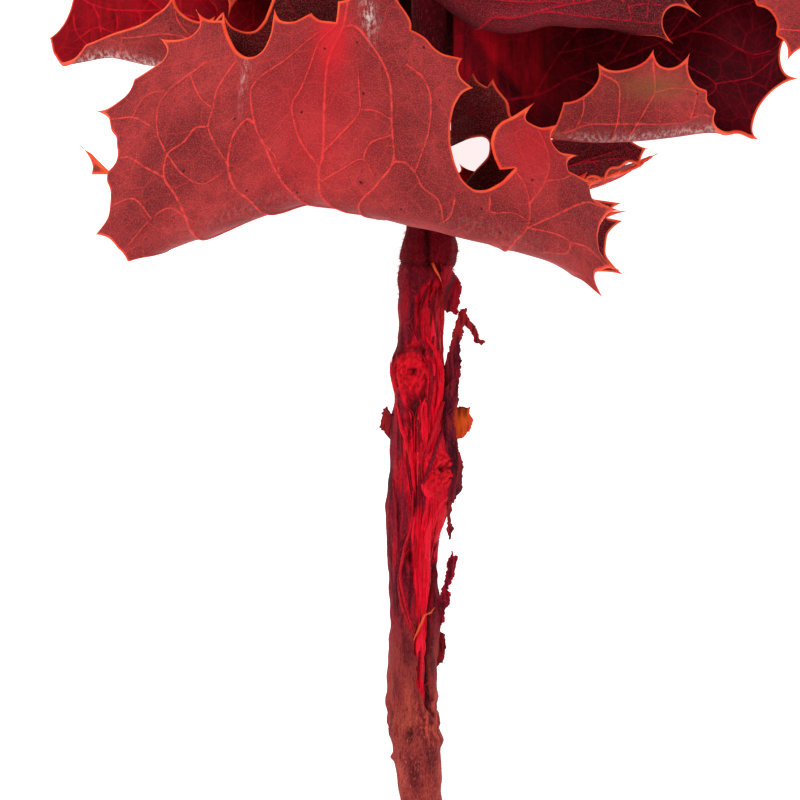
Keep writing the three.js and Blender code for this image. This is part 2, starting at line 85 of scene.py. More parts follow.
# ---- How the plant lies ---------------------------------------------------------------------------------
# The cut stem lies on its side, and rises a little from its cut end to the head. Shapes are drawn in the
# plant's own frame, in millimetres: +Y runs up the stem from the foot of the head, +Z is the side that faces
# up, and +X is to the right. The boxes of the stem and its bud say where that frame lies.
MM = 0.001
LIE_ANGLE = math.radians(12)
STEM_LENGTH = 150
STEM_RADIUS = 4.8
CUT_END_RADIUS = STEM_RADIUS * 0.93
STEM_FACETS = 14

stem_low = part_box("stem")[0]
bud_low, bud_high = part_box("end_bud")
end_drop = CUT_END_RADIUS * math.cos(math.pi / STEM_FACETS)
across_shift = (bud_low.x + bud_high.x) / 2 / MM
along_shift = stem_low.y / MM + STEM_LENGTH * math.cos(LIE_ANGLE) + end_drop * math.sin(LIE_ANGLE)
height_shift = stem_low.z / MM + STEM_LENGTH * math.sin(LIE_ANGLE) + end_drop * math.cos(LIE_ANGLE)


def laid(points):
    """Places in the plant's frame, in millimetres, as places on the surface that it lies on, in metres."""
    x, y, z = np.asarray(points, float).reshape(-1, 3).T
    return MM * np.column_stack([
        x + across_shift,
        y * math.cos(LIE_ANGLE) - z * math.sin(LIE_ANGLE) + along_shift,
        y * math.sin(LIE_ANGLE) + z * math.cos(LIE_ANGLE) + height_shift])


# ---- Camera, floor and lights ---------------------------------------------------------------------------
# A camera with a long lens looks straight down on the laid stem, at right angles to it. The head runs out of
# the frame at the top and the stem at the bottom. The floor is a plain white sweep under soft, even light.
FRAMED_WIDTH = 152
LENS = 240
SENSOR = 36
FLOOR_SIZE = 60
FLOOR_DROP = 0.0002             # the floor lies this far under the plant, in metres
FLOOR_GLOW = 0.8
ROOM_LIGHT = 0.42
AIM = (-5.3, -32.7, 8)
CAMERA_DISTANCE = FRAMED_WIDTH * LENS / SENSOR
aim = Vector(laid([AIM])[0])
back = Vector((0, -math.sin(LIE_ANGLE), math.cos(LIE_ANGLE)))
camera = bpy.data.objects.new("camera", bpy.data.cameras.new("camera"))
camera.data.lens = LENS
camera.data.sensor_width = SENSOR
camera.location = aim + back * (CAMERA_DISTANCE * MM)
camera.rotation_euler = (LIE_ANGLE, 0, 0)
bpy.context.collection.objects.link(camera)
bpy.context.scene.camera = camera

bpy.ops.mesh.primitive_plane_add(size=FLOOR_SIZE, location=(0, 0, -FLOOR_DROP))
floor = bpy.context.object
floor.name = "floor"
floor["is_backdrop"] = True
floor_finish = bpy.data.materials.new("white_floor")
floor_finish.use_nodes = True
floor_shader = floor_finish.node_tree.nodes["Principled BSDF"]
floor_shader.inputs["Base Color"].default_value = (0.93, 0.93, 0.93, 1)
floor_shader.inputs["Roughness"].default_value = 0.9
floor_shader.inputs["Emission Color"].default_value = (1, 1, 1, 1)
floor_shader.inputs["Emission Strength"].default_value = FLOOR_GLOW
floor.data.materials.append(floor_finish)


def softbox(name, place, size, power):
    """A square area light that faces the middle of the plant."""
    light = bpy.data.objects.new(name, bpy.data.lights.new(name, "AREA"))
    light.data.size = size
    light.data.energy = power
    light.location = place
    light.rotation_euler = (aim - light.location).to_track_quat("-Z", "Y").to_euler()
    light.visible_camera = False
    bpy.context.collection.objects.link(light)


softbox("key_light", (-0.7, 0.25, 1.3), 0.7, 12)
softbox("fill_light", (0.8, -0.7, 1.2), 0.9, 7)
world = bpy.data.worlds.new("studio")
world.use_nodes = True
room = world.node_tree.nodes["Background"]
room.inputs["Color"].default_value = (1, 1, 1, 1)
room.inputs["Strength"].default_value = ROOM_LIGHT
bpy.context.scene.world = world
bpy.context.scene.view_settings.view_transform = "Standard"

# ---- Leaf skin ------------------------------------------------------------------------------------------
# The leaves are leathery and dyed red. The underside is a dull pinkish red, the upper side a deep crimson,
# and both are netted with raised veins. A hard orange rim runs round each leaf and out along its spines. Pale
# crackle is painted as highlights along some folds, and a red glow is painted where light would shine through
# a blade.


class Field:
    """A number or colour that changes over a surface: one output of a shader node."""

    def __init__(self, tree, socket=None):
        self.tree = tree
        self.socket = socket

    def node(self, kind, settings, inputs, output=0):
        made = self.tree.nodes.new(kind)
        for name, value in settings.items():
            setattr(made, name, value)
        for name, value in inputs.items():
            if isinstance(value, Field):
                self.tree.links.new(value.socket, made.inputs[name])
            else:
                made.inputs[name].default_value = value
        return Field(self.tree, made.outputs[output])

    def feeds(self, shader, socket):
        self.tree.links.new(self.socket, shader.inputs[socket])

    def math(self, operation, first, second=0.0):
        return self.node("ShaderNodeMath", {"operation": operation}, {0: first, 1: second})

    def __add__(self, other):
        return self.math("ADD", self, other)

    def __sub__(self, other):
        return self.math("SUBTRACT", self, other)

    def __mul__(self, other):
        return self.math("MULTIPLY", self, other)

    def __rsub__(self, other):
        return self.math("SUBTRACT", other, self)

    __radd__ = __add__
    __rmul__ = __mul__

    def step(self, low, high):
        """0 below low and 1 above high, with a smooth change between. high may be the lower of the two."""
        settings = {"interpolation_type": "SMOOTHSTEP"}
        inputs = {"Value": self, "From Min": low, "From Max": high}
        return self.node("ShaderNodeMapRange", settings, inputs)

    def between(self, first, second):
        """The mix of two colours: the first where this field is 0, the second where it is 1."""
        settings = {"data_type": "RGBA", "clamp_factor": True}
        return self.node("ShaderNodeMix", settings, {0: self, 6: first, 7: second}, 2)

    def tinted(self, colour, amount):
        """This colour multiplied by another, by an amount from 0 to 1."""
        settings = {"data_type": "RGBA", "blend_type": "MULTIPLY", "clamp_factor": True}
        return self.node("ShaderNodeMix", settings, {0: amount, 6: self, 7: colour}, 2)

    def coated(self, coats):
        """This colour with coats laid over it in turn. Each is (a field, its colour where the field is 1)."""
        painted = self
        for amount, hue in coats:
            painted = amount.between(painted, hue)
        return painted

    def attribute(self, name, output="Fac"):
        return self.node("ShaderNodeAttribute", {"attribute_name": name}, {}, output)

    def noise(self, place, scale, detail=3.0, roughness=0.6, distortion=0.0):
        inputs = {
            "Vector": place, "Scale": scale, "Detail": detail, "Roughness": roughness,
            "Distortion": distortion}
        return self.node("ShaderNodeTexNoise", {}, inputs)

    def stretched(self, scale):
        """This place, stretched or squeezed along each axis."""
        settings = {"vector_type": "POINT"}
        return self.node("ShaderNodeMapping", settings, {"Vector": self, "Scale": scale})


def colour(red, green, blue):
    """A colour as it is seen, 0 to 255, as the linear numbers that a shader takes."""
    linear = [((c / 255 + 0.055) / 1.055) ** 2.4 if c > 10 else c / 255 / 12.92 for c in (red, green, blue)]
    return (*linear, 1)


def new_finish(name):
    """An empty material, its shader and a first field to make the others from."""
    finish = bpy.data.materials.new(name)
    finish.use_nodes = True
    shader = finish.node_tree.nodes["Principled BSDF"]
    return finish, shader, Field(finish.node_tree)


RIM_ORANGE = colour(255, 96, 56)
VEIN_RED = colour(244, 72, 64)
GLOSS = 0.06                    # the specular level of everything on the plant: it is dry and dull
NET_WARP = (0.02, 0.02, 0)


def leaf_skin(name, upper, upper_dark, upper_vein, under=None, under_vein=VEIN_RED):
    """The finish of a leaf, from the colours of its two sides: each has a lighter and a darker one, and a
    colour for its veins."""
    under_light, under_dark = under or (colour(174, 52, 54), colour(120, 30, 36))
    finish, shader, start = new_finish(name)
    flat = start.node("ShaderNodeUVMap", {"uv_map": "flat"}, {}, "UV")
    under = start.attribute("under")
    vein = start.attribute("vein")
    rim = start.attribute("rim")
    # One colour attribute holds three masks: pale crackle painted as highlights along folds and creases, an
    # olive stain, and a painted red glow where light would shine through the blade.
    stains = start.node("ShaderNodeSeparateColor", {}, {0: start.attribute("stain", "Color")}).socket.node
    crackle_and_highlight, olive, painted_glow = (Field(start.tree, stains.outputs[name]) for name in ("Red", "Green", "Blue"))

    wander = start.noise(flat, 26, 3)
    vein = vein * (0.52 + 0.5 * start.noise(flat, 70, 3, 0.7).step(0.34, 0.66))
    warped = start.node(
        "ShaderNodeVectorMath", {"operation": "MULTIPLY_ADD"},
        {0: start.node("ShaderNodeTexNoise", {}, {"Vector": flat, "Scale": 22, "Detail": 3}, "Color"),
         1: NET_WARP, 2: flat})

    def net(scale, width):
        cells = {"feature": "DISTANCE_TO_EDGE", "voronoi_dimensions": "2D"}
        edge = start.node("ShaderNodeTexVoronoi", cells, {"Vector": warped, "Scale": scale}, "Distance")
        return edge.step(width, 0.0)

    coarse_net = net(17, 0.055)
    fine_net = net(46, 0.1)
    fleck = start.noise(flat, 120, 3, 0.75)
    broad = start.noise(flat, 5.5, 4).step(0.35, 0.68)
    blotch = start.noise(flat, 34, 4, 0.65).step(0.42, 0.7)
    grain = start.noise(flat, 420, 2, 0.7)
    spot_cells = {"feature": "F1", "voronoi_dimensions": "2D"}
    spots = start.node("ShaderNodeTexVoronoi", spot_cells, {"Vector": warped, "Scale": 15}, "Distance")
    spots = spots.step(0.05, 0.025) * start.noise(flat, 11, 1).step(0.52, 0.6)

    below = broad.between(under_dark, under_light).coated([
        (blotch * 0.5, under_dark),
        (fleck.step(0.48, 0.66) * 0.6, colour(100, 42, 42)),
        (grain.step(0.47, 0.7) * 0.42, colour(212, 108, 98)),
        (fine_net * 0.1, under_vein),
        (coarse_net * 0.14, under_vein),
        (vein.step(0.2, 0.85) * 0.9, under_vein),
        # painted glow: red light that would shine through the thin blade
        (painted_glow * 0.75, colour(222, 34, 46)),
        (olive * 0.55, colour(118, 88, 48)),
        (spots * 0.85, colour(62, 14, 22))])
    ribbed = start.noise(flat.stretched((1, 0.12, 1)), 60, 3, 0.7).step(0.3, 0.65)
    above = broad.between(upper_dark, upper).coated([
        (blotch * 0.45, upper_dark),
        (fine_net * 0.14, upper_vein),
        (coarse_net * 0.2, upper_vein),
        (vein.step(0.25, 0.85) * 0.85, upper_vein),
        # painted glow: red light that would shine through the thin blade, in streaks
        (painted_glow * (0.2 + 0.7 * ribbed), colour(206, 6, 28))])

    crackle = start.noise(flat.stretched((1, 0.35, 1)), 150, 4, 0.7).step(0.44, 0.62)
    under.between(above, below).coated([
        # pale crackle, painted as highlights along folds and creases
        (crackle_and_highlight * crackle * 0.9, colour(236, 206, 200)),
        (rim.step(0.5, 0.85), wander.step(0.3, 0.7).between(RIM_ORANGE, colour(246, 66, 44))),
    ]).feeds(shader, "Base Color")
    (0.62 - 0.12 * broad - 0.1 * rim + 0.12 * crackle_and_highlight).feeds(shader, "Roughness")
    height = grain * 0.35 + coarse_net * 0.5 + fine_net * 0.22 + crackle * crackle_and_highlight * 0.6 + blotch * 0.25
    bump_inputs = {"Strength": 0.35, "Distance": 0.0003, "Height": height}
    bump = start.node("ShaderNodeBump", {}, bump_inputs, "Normal")
    bump.feeds(shader, "Normal")
    shader.inputs["Specular IOR Level"].default_value = GLOSS
    shader.inputs["Subsurface Weight"].default_value = 0.06
    shader.inputs["Subsurface Radius"].default_value = (1, 0.18, 0.12)
    shader.inputs["Subsurface Scale"].default_value = 0.0015
    return finish


crimson_skin = leaf_skin("crimson_leaf", colour(160, 0, 20), colour(104, 0, 12), colour(226, 14, 38))
maroon_skin = leaf_skin("maroon_leaf", colour(88, 0, 14), colour(48, 0, 8), colour(168, 8, 34))
shaded_skin = leaf_skin(
    "shaded_leaf", colour(88, 0, 14), colour(48, 0, 8), colour(168, 8, 34),
    under=(colour(92, 0, 16), colour(52, 0, 8)), under_vein=colour(150, 8, 30))

# ---- The blade of a leaf --------------------------------------------------------------------------------
# Each leaf grew as one flat, stiff blade that stands in a folded or cupped shape. It is drawn flat, tooth by
# tooth, filled with a fine net of points that is closest along its rim and veins, and then bent.
BLADE_THICKNESS = 0.55
RIM_THICKNESS = 0.3             # how much thicker the rim's bead is than the blade
RIM_WIDTH = 0.55
EDGE_THICKNESS = 0.16
VEIN_HEIGHT = 0.26
SPINE = 1.9
FOOT_HALF_WIDTH = 4.5
SEAT_GAP = 0.9                  # from the bark to the drawn blade's foot
DRAWN_THICKNESS = 0.9
EASING = 7                      # how often an outline is eased, away from its sharp teeth
SHARP_TURN = 0.35


def through(points):
    """A smooth function through points (x, value), which goes on straight past both ends."""
    xs, values = np.array(points, float).T
    last = len(xs) - 1
    slopes = np.array([
        (values[min(last, i + 1)] - values[max(0, i - 1)]) / (xs[min(last, i + 1)] - xs[max(0, i - 1)])
        for i in range(last + 1)])

    def value(x):
        x = np.asarray(x, float)
        i = np.clip(np.searchsorted(xs, x, side="right") - 1, 0, last - 1)
        width = xs[i + 1] - xs[i]
        rise = values[i + 1] - values[i]
        t = (x - xs[i]) / width
        bow = t * (1 - t) * ((1 - t) * (slopes[i] * width - rise) - t * (slopes[i + 1] * width - rise))
        inside = values[i] + rise * t + bow
        before = values[0] + slopes[0] * (x - xs[0])
        after = values[-1] + slopes[-1] * (x - xs[-1])
        return np.where(x <= xs[0], before, np.where(x >= xs[-1], after, inside))
    return value


def smooth(t):
    t = np.clip(t, 0, 1)
    return t * t * (3 - 2 * t)


def soft_plus(x):
    return np.logaddexp(0, x)


def rough(points, size, seed=0.0):
    """Smooth random heights, about -1 to 1, that change over `size` millimetres."""
    shift = np.array([seed * 7.13, seed * 3.71, seed * 5.37])
    places = np.asarray(points, float)
    if places.shape[1] == 2:
        places = np.column_stack([places, np.zeros(len(places))])
    return np.array([noise.noise(Vector(p)) for p in places / size + shift])


def drawn_line(points, spacing):
    """A smooth line through flat points, as places spaced evenly along it."""
    points = np.array(points, float)
    along = np.concatenate([[0], np.cumsum(np.hypot(*np.diff(points, axis=0).T))])
    steps = np.linspace(0, along[-1], max(2, round(along[-1] / spacing) + 1))
    return np.column_stack([through(np.column_stack([along, points[:, k]]))(steps) for k in (0, 1)])


def sides_of(line):
    """The direction to the left of each place on a line."""
    run = np.gradient(line, axis=0)
    run /= np.maximum(np.hypot(*run.T), 1e-9)[:, None]
    return np.column_stack([-run[:, 1], run[:, 0]])


def scalloped(teeth, spacing, spine):
    """The outline from tooth to tooth, clockwise, each edge scooped in by its depth and each tooth drawn out
    into a spine. A tooth is (x, y, depth)."""
    teeth = [(*tooth, 0)[:3] for tooth in teeth]
    edge = []
    corners = []
    for i, (x, y, depth) in enumerate(teeth):
        start = np.array([x, y])
        end = np.array(teeth[(i + 1) % len(teeth)][:2])
        run = end - start
        pull = depth / 0.75 * np.array([run[1], -run[0]])
        count = max(3, round(np.hypot(*run) * (1 + depth * depth) / spacing))
        even = np.arange(count)[:, None] / count
        t = 0.65 * even + 0.35 * (1 - np.cos(math.pi * even)) / 2
        first, second = start + run * 0.2 + pull, start + run * 0.8 + pull
        corners.append(len(edge))
        edge += list(
            (1 - t) ** 3 * start + 3 * t * (1 - t) ** 2 * first + 3 * t * t * (1 - t) * second + t ** 3 * end)
    edge = np.array(edge)
    drawn = edge.copy()
    free = np.ones(len(edge), bool)
    for i, corner in enumerate(corners):
        before = edge[corner - 2] - edge[corner]
        after = edge[(corner + 2) % len(edge)] - edge[corner]
        if np.dot(before, after) > -SHARP_TURN * np.hypot(*before) * np.hypot(*after):
            free[np.arange(corner - 1, corner + 2) % len(edge)] = False
        scoop = min(teeth[i - 1][2], teeth[i][2])
        if scoop < 0.1:
            continue
        outward = -(before / np.hypot(*before) + after / np.hypot(*after))
        if before[0] * after[1] - before[1] * after[0] < 0.05 or np.hypot(*outward) < 0.3:
            continue
        outward /= np.hypot(*outward)
        reach = np.hypot(*(edge - edge[corner]).T)
        place = np.arange(len(edge))
        away = np.minimum((place - corner) % len(edge), (corner - place) % len(edge))
        pulled = np.where(away < 12, np.exp(-((reach / 0.75) ** 1.3)), 0)
        drawn += spine * min(1, scoop / 0.16) * pulled[:, None] * outward
    for _ in range(EASING):
        relaxed = (np.roll(drawn, 1, axis=0) + 2 * drawn + np.roll(drawn, -1, axis=0)) / 4
        drawn = np.where(free[:, None], relaxed, drawn)
    return drawn


def distance_to(points, starts, ends, widths):
    """For each point, its distance from the nearest of some straight lines, and from the one that is nearest
    when measured in its own widths."""
    nearest = np.empty(len(points))
    in_widths = np.empty(len(points))
    run_x, run_y = (ends - starts).T
    lengths = np.maximum(run_x ** 2 + run_y ** 2, 1e-12)
    for first in range(0, len(points), 64):
        part = slice(first, first + 64)
        x = points[part, :1] - starts[:, 0]
        y = points[part, 1:] - starts[:, 1]
        t = np.clip((x * run_x + y * run_y) / lengths, 0, 1)
        gap = np.sqrt((x - t * run_x) ** 2 + (y - t * run_y) ** 2)
        nearest[part] = gap.min(1)
        in_widths[part] = (gap / widths).min(1)
    return nearest, in_widths


def inside_of(points, outline):
    """Whether each point is inside the outline."""
    x0, y0 = outline.T
    x1, y1 = np.roll(outline, -1, axis=0).T
    slant = (x1 - x0) / np.where(y1 == y0, 1, y1 - y0)
    within = []
    for part in np.array_split(points, len(points) // 1500 + 1):
        x, y = part[:, :1], part[:, 1:]
        crossed = ((y > y0) != (y > y1)) & (x < x0 + (y - y0) * slant)
        within.append(crossed.sum(1) % 2 == 1)
    return np.concatenate(within)


def put(mesh, label, values):
    """Writes one value, colour or place for each point of a mesh."""
    values = np.asarray(values, float)
    kind, field = ("FLOAT", "value") if values.ndim == 1 else ("FLOAT_VECTOR", "vector")
    mesh.attributes.new(label, kind, "POINT").data.foreach_set(field, values.ravel())


def shaped(name, places, faces):
    """A smooth piece from its places in the plant's frame and its faces."""
    mesh = bpy.data.meshes.new(name)
    mesh.from_pydata(laid(places).tolist(), [], faces)
    mesh.polygons.foreach_set("use_smooth", [True] * len(mesh.polygons))
    piece = bpy.data.objects.new(name, mesh)
    bpy.context.collection.objects.link(piece)
    return piece


def filled(outline, points, merged):
    """The outline filled with triangles between points: the flat places in use, and three of them for each.
    Points closer than `merged` become one."""
    ring = [(i, (i + 1) % len(outline)) for i in range(len(outline))]
    flat, _, triangles, _, _, _ = delaunay_2d_cdt([Vector(p) for p in points], ring, [], 1, merged)
    used, renumbered = np.unique(np.array(triangles), return_inverse=True)
    return np.array(flat)[used], renumbered.reshape(-1, 3)


def closed_sheet(name, flat, triangles, front, back, attributes):
    """A closed mesh with two faces of the same triangles, joined by a wall round their edge. front and back
    are the places of the flat points on each face, and an attribute holds one row of values for each face."""
    count = len(flat)
    triangles = np.array(triangles)
    directed = np.vstack([triangles[:, [0, 1]], triangles[:, [1, 2]], triangles[:, [2, 0]]])
    taken = set(map(tuple, directed))
    rim = np.array([e for e in directed if (e[1], e[0]) not in taken])
    wall = np.column_stack([rim[:, 1], rim[:, 0], rim[:, 0] + count, rim[:, 1] + count])
    faces = triangles.tolist() + (triangles[:, ::-1] + count).tolist() + wall.tolist()
    piece = shaped(name, np.vstack([front, back]), faces)
    mesh = piece.data
    corners = np.empty(len(mesh.loops), np.int32)
    mesh.loops.foreach_get("vertex_index", corners)
    both = np.vstack([flat, flat])
    mesh.uv_layers.new(name="flat").data.foreach_set("uv", (both[corners] / 100).ravel())
    for label, values in attributes.items():
        put(mesh, label, values)
    return piece


def blade(
        name, teeth, surface, veins, skin, cell=1.1, pattern=0, spine=SPINE, stains=None, ripple=0.5,
        rim_from=7):
    """A leaf's blade, bent to its surface. A vein is (width, its flat points). The rim has its own colour
    from rim_from out from the middle of the stem."""
    outline = scalloped(teeth, 0.45, spine)
    starts, ends = outline, np.roll(outline, -1, axis=0)
    rim_lines = (starts, ends, np.ones(len(outline)))
    rows = [outline]
    inward = sides_of(np.vstack([outline, outline[:2]]))[:-2] * -1
    for inset in (0.17, 0.42, 0.8):
        row = outline + inward * inset
        row = row[inside_of(row, outline)]
        rows.append(row[distance_to(row, *rim_lines)[0] > 0.8 * inset])

    lines = []
    widths = []
    for width, points in veins:
        line = drawn_line(points, 0.5)
        line = line[inside_of(line, outline)]
        if len(line) < 3:
            continue
        taper = width * np.linspace(1, 0.55, len(line))
        side = sides_of(line)
        for share in (0, 0.8, -0.8, 2.2, -2.2):
            row = line + side * (taper * share)[:, None]
            row = row[inside_of(row, outline)]
            rows.append(row[distance_to(row, *rim_lines)[0] > 0.5])
        lines.append((line[:-1], line[1:]))
        widths.append(taper[:-1])
    low, high = outline.min(0), outline.max(0)
    across = np.arange(low[0], high[0], cell)
    up = np.arange(low[1], high[1], cell * 0.866)
    grid = np.array([(x + cell / 2 * (j % 2), y) for j, y in enumerate(up) for x in across])
    grid = grid[inside_of(grid, outline)]
    grid = grid[distance_to(grid, *rim_lines)[0] > 1.2]
    if lines:
        vein_lines = (
            np.vstack([s for s, e in lines]), np.vstack([e for s, e in lines]), np.concatenate(widths))
        grid = grid[distance_to(grid, *vein_lines)[1] > 3.6]
    rows.append(grid)
    flat, triangles = filled(outline, np.vstack(rows), 0.02)

    from_rim = distance_to(flat, *rim_lines)[0]
    from_vein, in_widths = distance_to(flat, *vein_lines) if lines else (np.full(len(flat), 9.0),) * 2
    vein = np.clip(1 - in_widths / 1.25, 0, 1)
    round_edge = np.sqrt(1 - (1 - np.clip(from_rim / 0.42, 0, 1)) ** 2)
    bead = np.exp(-((from_rim - 0.35) / RIM_WIDTH * 1.4) ** 2)
    foot = np.exp(-np.hypot(flat[:, 0], np.minimum(flat[:, 1] - flat[:, 1].min(), 60)) / 5)
    body = BLADE_THICKNESS + RIM_THICKNESS * bead
    thickness = EDGE_THICKNESS + (body - EDGE_THICKNESS) * round_edge
    ridge = VEIN_HEIGHT * vein * np.clip(from_rim / 1.2, 0, 1)
    held = np.clip(from_rim / 3, 0, 1)
    pucker = 0.42 * np.exp(-from_vein / 1.3) * held
    waves = rough(flat, 16, pattern + 1) + 0.45 * rough(flat, 6, pattern + 2)
    waves = ripple * waves * (0.35 + 0.65 * held)
    middle = pucker + waves

    step = 0.05
    a, b = flat.T
    sheet = surface(a, b)
    along_a = surface(a + step, b) - surface(a - step, b)
    along_b = surface(a, b + step) - surface(a, b - step)
    normal = np.cross(along_a, along_b)
    normal /= np.linalg.norm(normal, axis=1)[:, None]
    front = sheet + normal * (middle + thickness / 2 + ridge)[:, None]
    back = sheet + normal * (middle - thickness / 2 - 0.35 * ridge)[:, None]
    count = len(flat)
    # Stains and painted light: pale crackle painted as highlights, an olive stain, and a painted glow.
    stain = np.zeros((count, 3)) if stains is None else stains(a, b)
    rim = np.clip(1 - from_rim / (RIM_WIDTH * 1.5), 0, 1) ** 0.6
    rim = rim * smooth((np.hypot(sheet[:, 0], sheet[:, 2]) - rim_from) / 12)
    piece = closed_sheet(name, flat + 37.7 * pattern, triangles, front, back, {
        "under": np.concatenate([np.ones(count), np.zeros(count)]),
        "vein": np.tile(vein, 2), "rim": np.tile(rim, 2), "stain": np.vstack([stain, stain])})
    piece.data.materials.append(skin)
    return piece


def leaf(name, teeth, surface, veins, skin, **settings):
    """A leaf in its place on the stem, which stands for the drawn leaf of the same name."""
    piece = blade(f"{name}_blade", teeth, surface, veins, skin, **settings)
    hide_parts(name)
    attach(piece, "root")


def folded(fold, depth, soften, front, back, gap=None, curl=0.0):
    """A leaf folded along a line that runs across it: b > 0 is the part in front of the fold and b < 0 the
    part behind. front and back are (rise, lean), the directions in which the two parts leave it."""
    def surface(a, b):
        ahead = soften * soft_plus(b / soften)
        behind = soften * soft_plus(-b / soften)
        apart = 0 if gap is None else gap(a) / 2 * np.tanh(b / (1.6 * soften))
        return np.column_stack([
            a,
            fold(a) + front[0] * ahead + back[0] * behind,
            depth(a) + front[1] * ahead + back[1] * behind + apart - curl * ahead ** 2])
    return surface


def upright(depth, bow, middle):
    """A leaf held upright like a hand, bowed away from the front above and below its middle."""
    def surface(a, b):
        return np.column_stack([a, b, depth(a) - bow * (b - middle) ** 2])
    return surface


STEM_TOP = 94
STEM_TIP_RADIUS = 1.5
half_width = through([
    (-150, 0.93), (-118, 0.9), (-101, 0.97), (-88, 1.02), (-74, 1), (-63, 1), (-52, 1.09), (-43, 1.18),
    (-35, 1.06), (-28, 1.07), (-21, 0.92), (-14, 0.97), (-7.6, 1.22), (-3, 1.08), (2, 0.95), (10, 0.92)])


def stem_half_width(y):
    thinning = np.maximum(0, y - 10) / (STEM_TOP - 10)
    return (1 - thinning) * STEM_RADIUS * half_width(np.minimum(y, 10)) + thinning * STEM_TIP_RADIUS


stem_drift = through([
    (-150, 0.4), (-125, -0.4), (-108, -1.4), (-100, -2.1), (-88, -2.9), (-63, -2.9), (-48, -2.5),
    (-28, -1.6), (-14, -0.7), (-7, 0.2), (0, 0.3), (30, 0), (94, 0)])


def seated(surface, at, foot):
    """The surface moved out or in, so that its foot meets the bark at height `at`."""
    shift = float(stem_half_width(at)) + SEAT_GAP + DRAWN_THICKNESS / 2 - foot

    def placed(a, b):
        p = surface(a, b)
        distance = np.hypot(p[:, 0], p[:, 2])
        p[:, 0] += p[:, 0] / distance * shift
        p[:, 2] += p[:, 2] / distance * shift
        return p
    return placed


# ---- The big front leaf ---------------------------------------------------------------------------------
# It leaves the stem at the foot of the head, runs out over a soft fold and turns up, so that its dull
# underside faces up. Its fold sags to a drooping lobe on each side. Its veins are drawn one by one.
front_fold = through([
    (-62, -14), (-57, -10.9), (-49.5, -5.8), (-38, -2), (-29, 1.2), (-22, 2.8), (-14, 1.4), (-6, -0.6),
    (1, -2), (8, -3.6), (16, -5.7), (24, -8.4), (28.6, -11.4), (32, -16), (37, -22)])
front_depth = through([
    (-66, 14), (-57, 21), (-46, 28), (-34, 34), (-20, 38.5), (-8, 40), (4, 39), (16, 35), (26, 29),
    (38, 16)])


def seen_at(z, x, y):
    """The true place across and along the stem of a point at depth z, from where it looks to be from the
    front: what is nearer looks a little larger."""
    closer = 1 - (float(z) - AIM[2]) / CAMERA_DISTANCE
    return AIM[0] + (x - AIM[0]) * closer, AIM[1] + (y - AIM[1]) * closer


FRONT_RISE = 0.985


def on_front(*points):
    """Places on the part of the leaf that is turned up, given by how far across and how high they look."""
    places = []
    for x, y, *depth in points:
        x, y = seen_at(front_depth(x), x, y)
        places.append((x, float(y - front_fold(x)) / FRONT_RISE, *depth))
    return places


front_teeth = on_front(
    (-57, -7.8, 0.08), (-58.8, -4.2, 0.06), (-60.4, -2.1, 0.05), (-62.9, -1.4, 0.06), (-60.4, 1.8, 0.04),
    (-60, 7.1, 0.04), (-60.9, 8.8), (-60.6, 10), (-63.6, 10), (-63.3, 11.4, 0.05), (-66, 15.6, 0.05),
    (-63.9, 14.2), (-62.1, 12.3), (-60.4, 10.7), (-58.8, 12.2), (-58.5, 14.4), (-59, 15.6), (-58.6, 17.1),
    (-59.9, 18.1), (-60.2, 20.6, 0.05), (-63.1, 22, 0.06), (-60.4, 22.5), (-58, 24.1), (-56, 25.9),
    (-55.4, 28.1, 0.06), (-50, 31.5, 0.05), (-49, 33.4, 0.04), (-50.8, 35.9, 0.12), (-44.5, 36.3),
    (-42.9, 38, 0.06), (-43.9, 41.3, 0.1), (-41.8, 39.4, 0.05), (-38.9, 39.2), (-38.6, 40.8, 0.05),
    (-37.3, 35.5), (-36.2, 33.4), (-34.6, 32.2), (-32.6, 32.2), (-30.9, 33.6), (-29.6, 36.8),
    (-29, 41.4, 0.06), (-28, 39.1, 0.05), (-25, 38.9), (-22, 40.6, 0.1), (-20.6, 39.1), (-17.4, 38.9, 0.02),
    (-17, 42.9, 0.1), (-14.6, 43.4), (-13.4, 45.4, 0.12), (-7, 47, 0.1), (-4.6, 41.4), (-3, 38.9),
    (-3.2, 37.4), (-1.4, 36.6), (0, 35.6), (0.6, 34.4), (2.6, 32.8), (6.5, 32, 0.08), (5.5, 29.8),
    (6.2, 28), (8.5, 26.4, 0.04), (6.3, 25.4), (4.9, 23), (4.2, 19.7), (4.2, 15.8), (5.1, 12), (6.5, 8.8),
    (8.7, 6.9), (11.2, 7), (14, 8.6), (16.4, 11.2), (13.6, 10.9), (12.4, 13.4), (11.8, 16.2), (12.5, 18.6),
    (13.9, 20.1), (15.7, 20.8), (20.1, 23.6, 0.05), (18.2, 20.9), (18.5, 20), (21.4, 18.7),
    (24.6, 19.4, 0.06), (23, 17.4), (23.3, 15.8), (24.9, 14), (28.4, 13.5, 0.06), (26, 12.3), (26.5, 10.6),
    (29.3, 9.1), (33, 8.2, 0.06), (30.4, 7.4), (30.8, 5.7), (32.7, 4.6), (36.6, 3, 0.06), (33.6, 2.2),
    (32.4, 0.4), (31.9, -2.3), (32.3, -4.6), (34, -6.9), (37.6, -8.9, 0.06), (33.3, -8), (31.5, -8.9),
    (31.4, -10.8), (33.1, -14.6, 0.12)) + [
    (27, -9, 0.14), (19, -19, 0.14), (9, -27, 0.06), (4.6, -34.5), (-4.6, -34.5, 0.06), (-16, -30, 0.14),
    (-33, -25, 0.16), (-50, -13, 0.16)]


def veins_on(place, *runs):
    """Veins on one part of a leaf. Each is its width and its points as they look."""
    return [(width, place(*points)) for width, *points in runs]


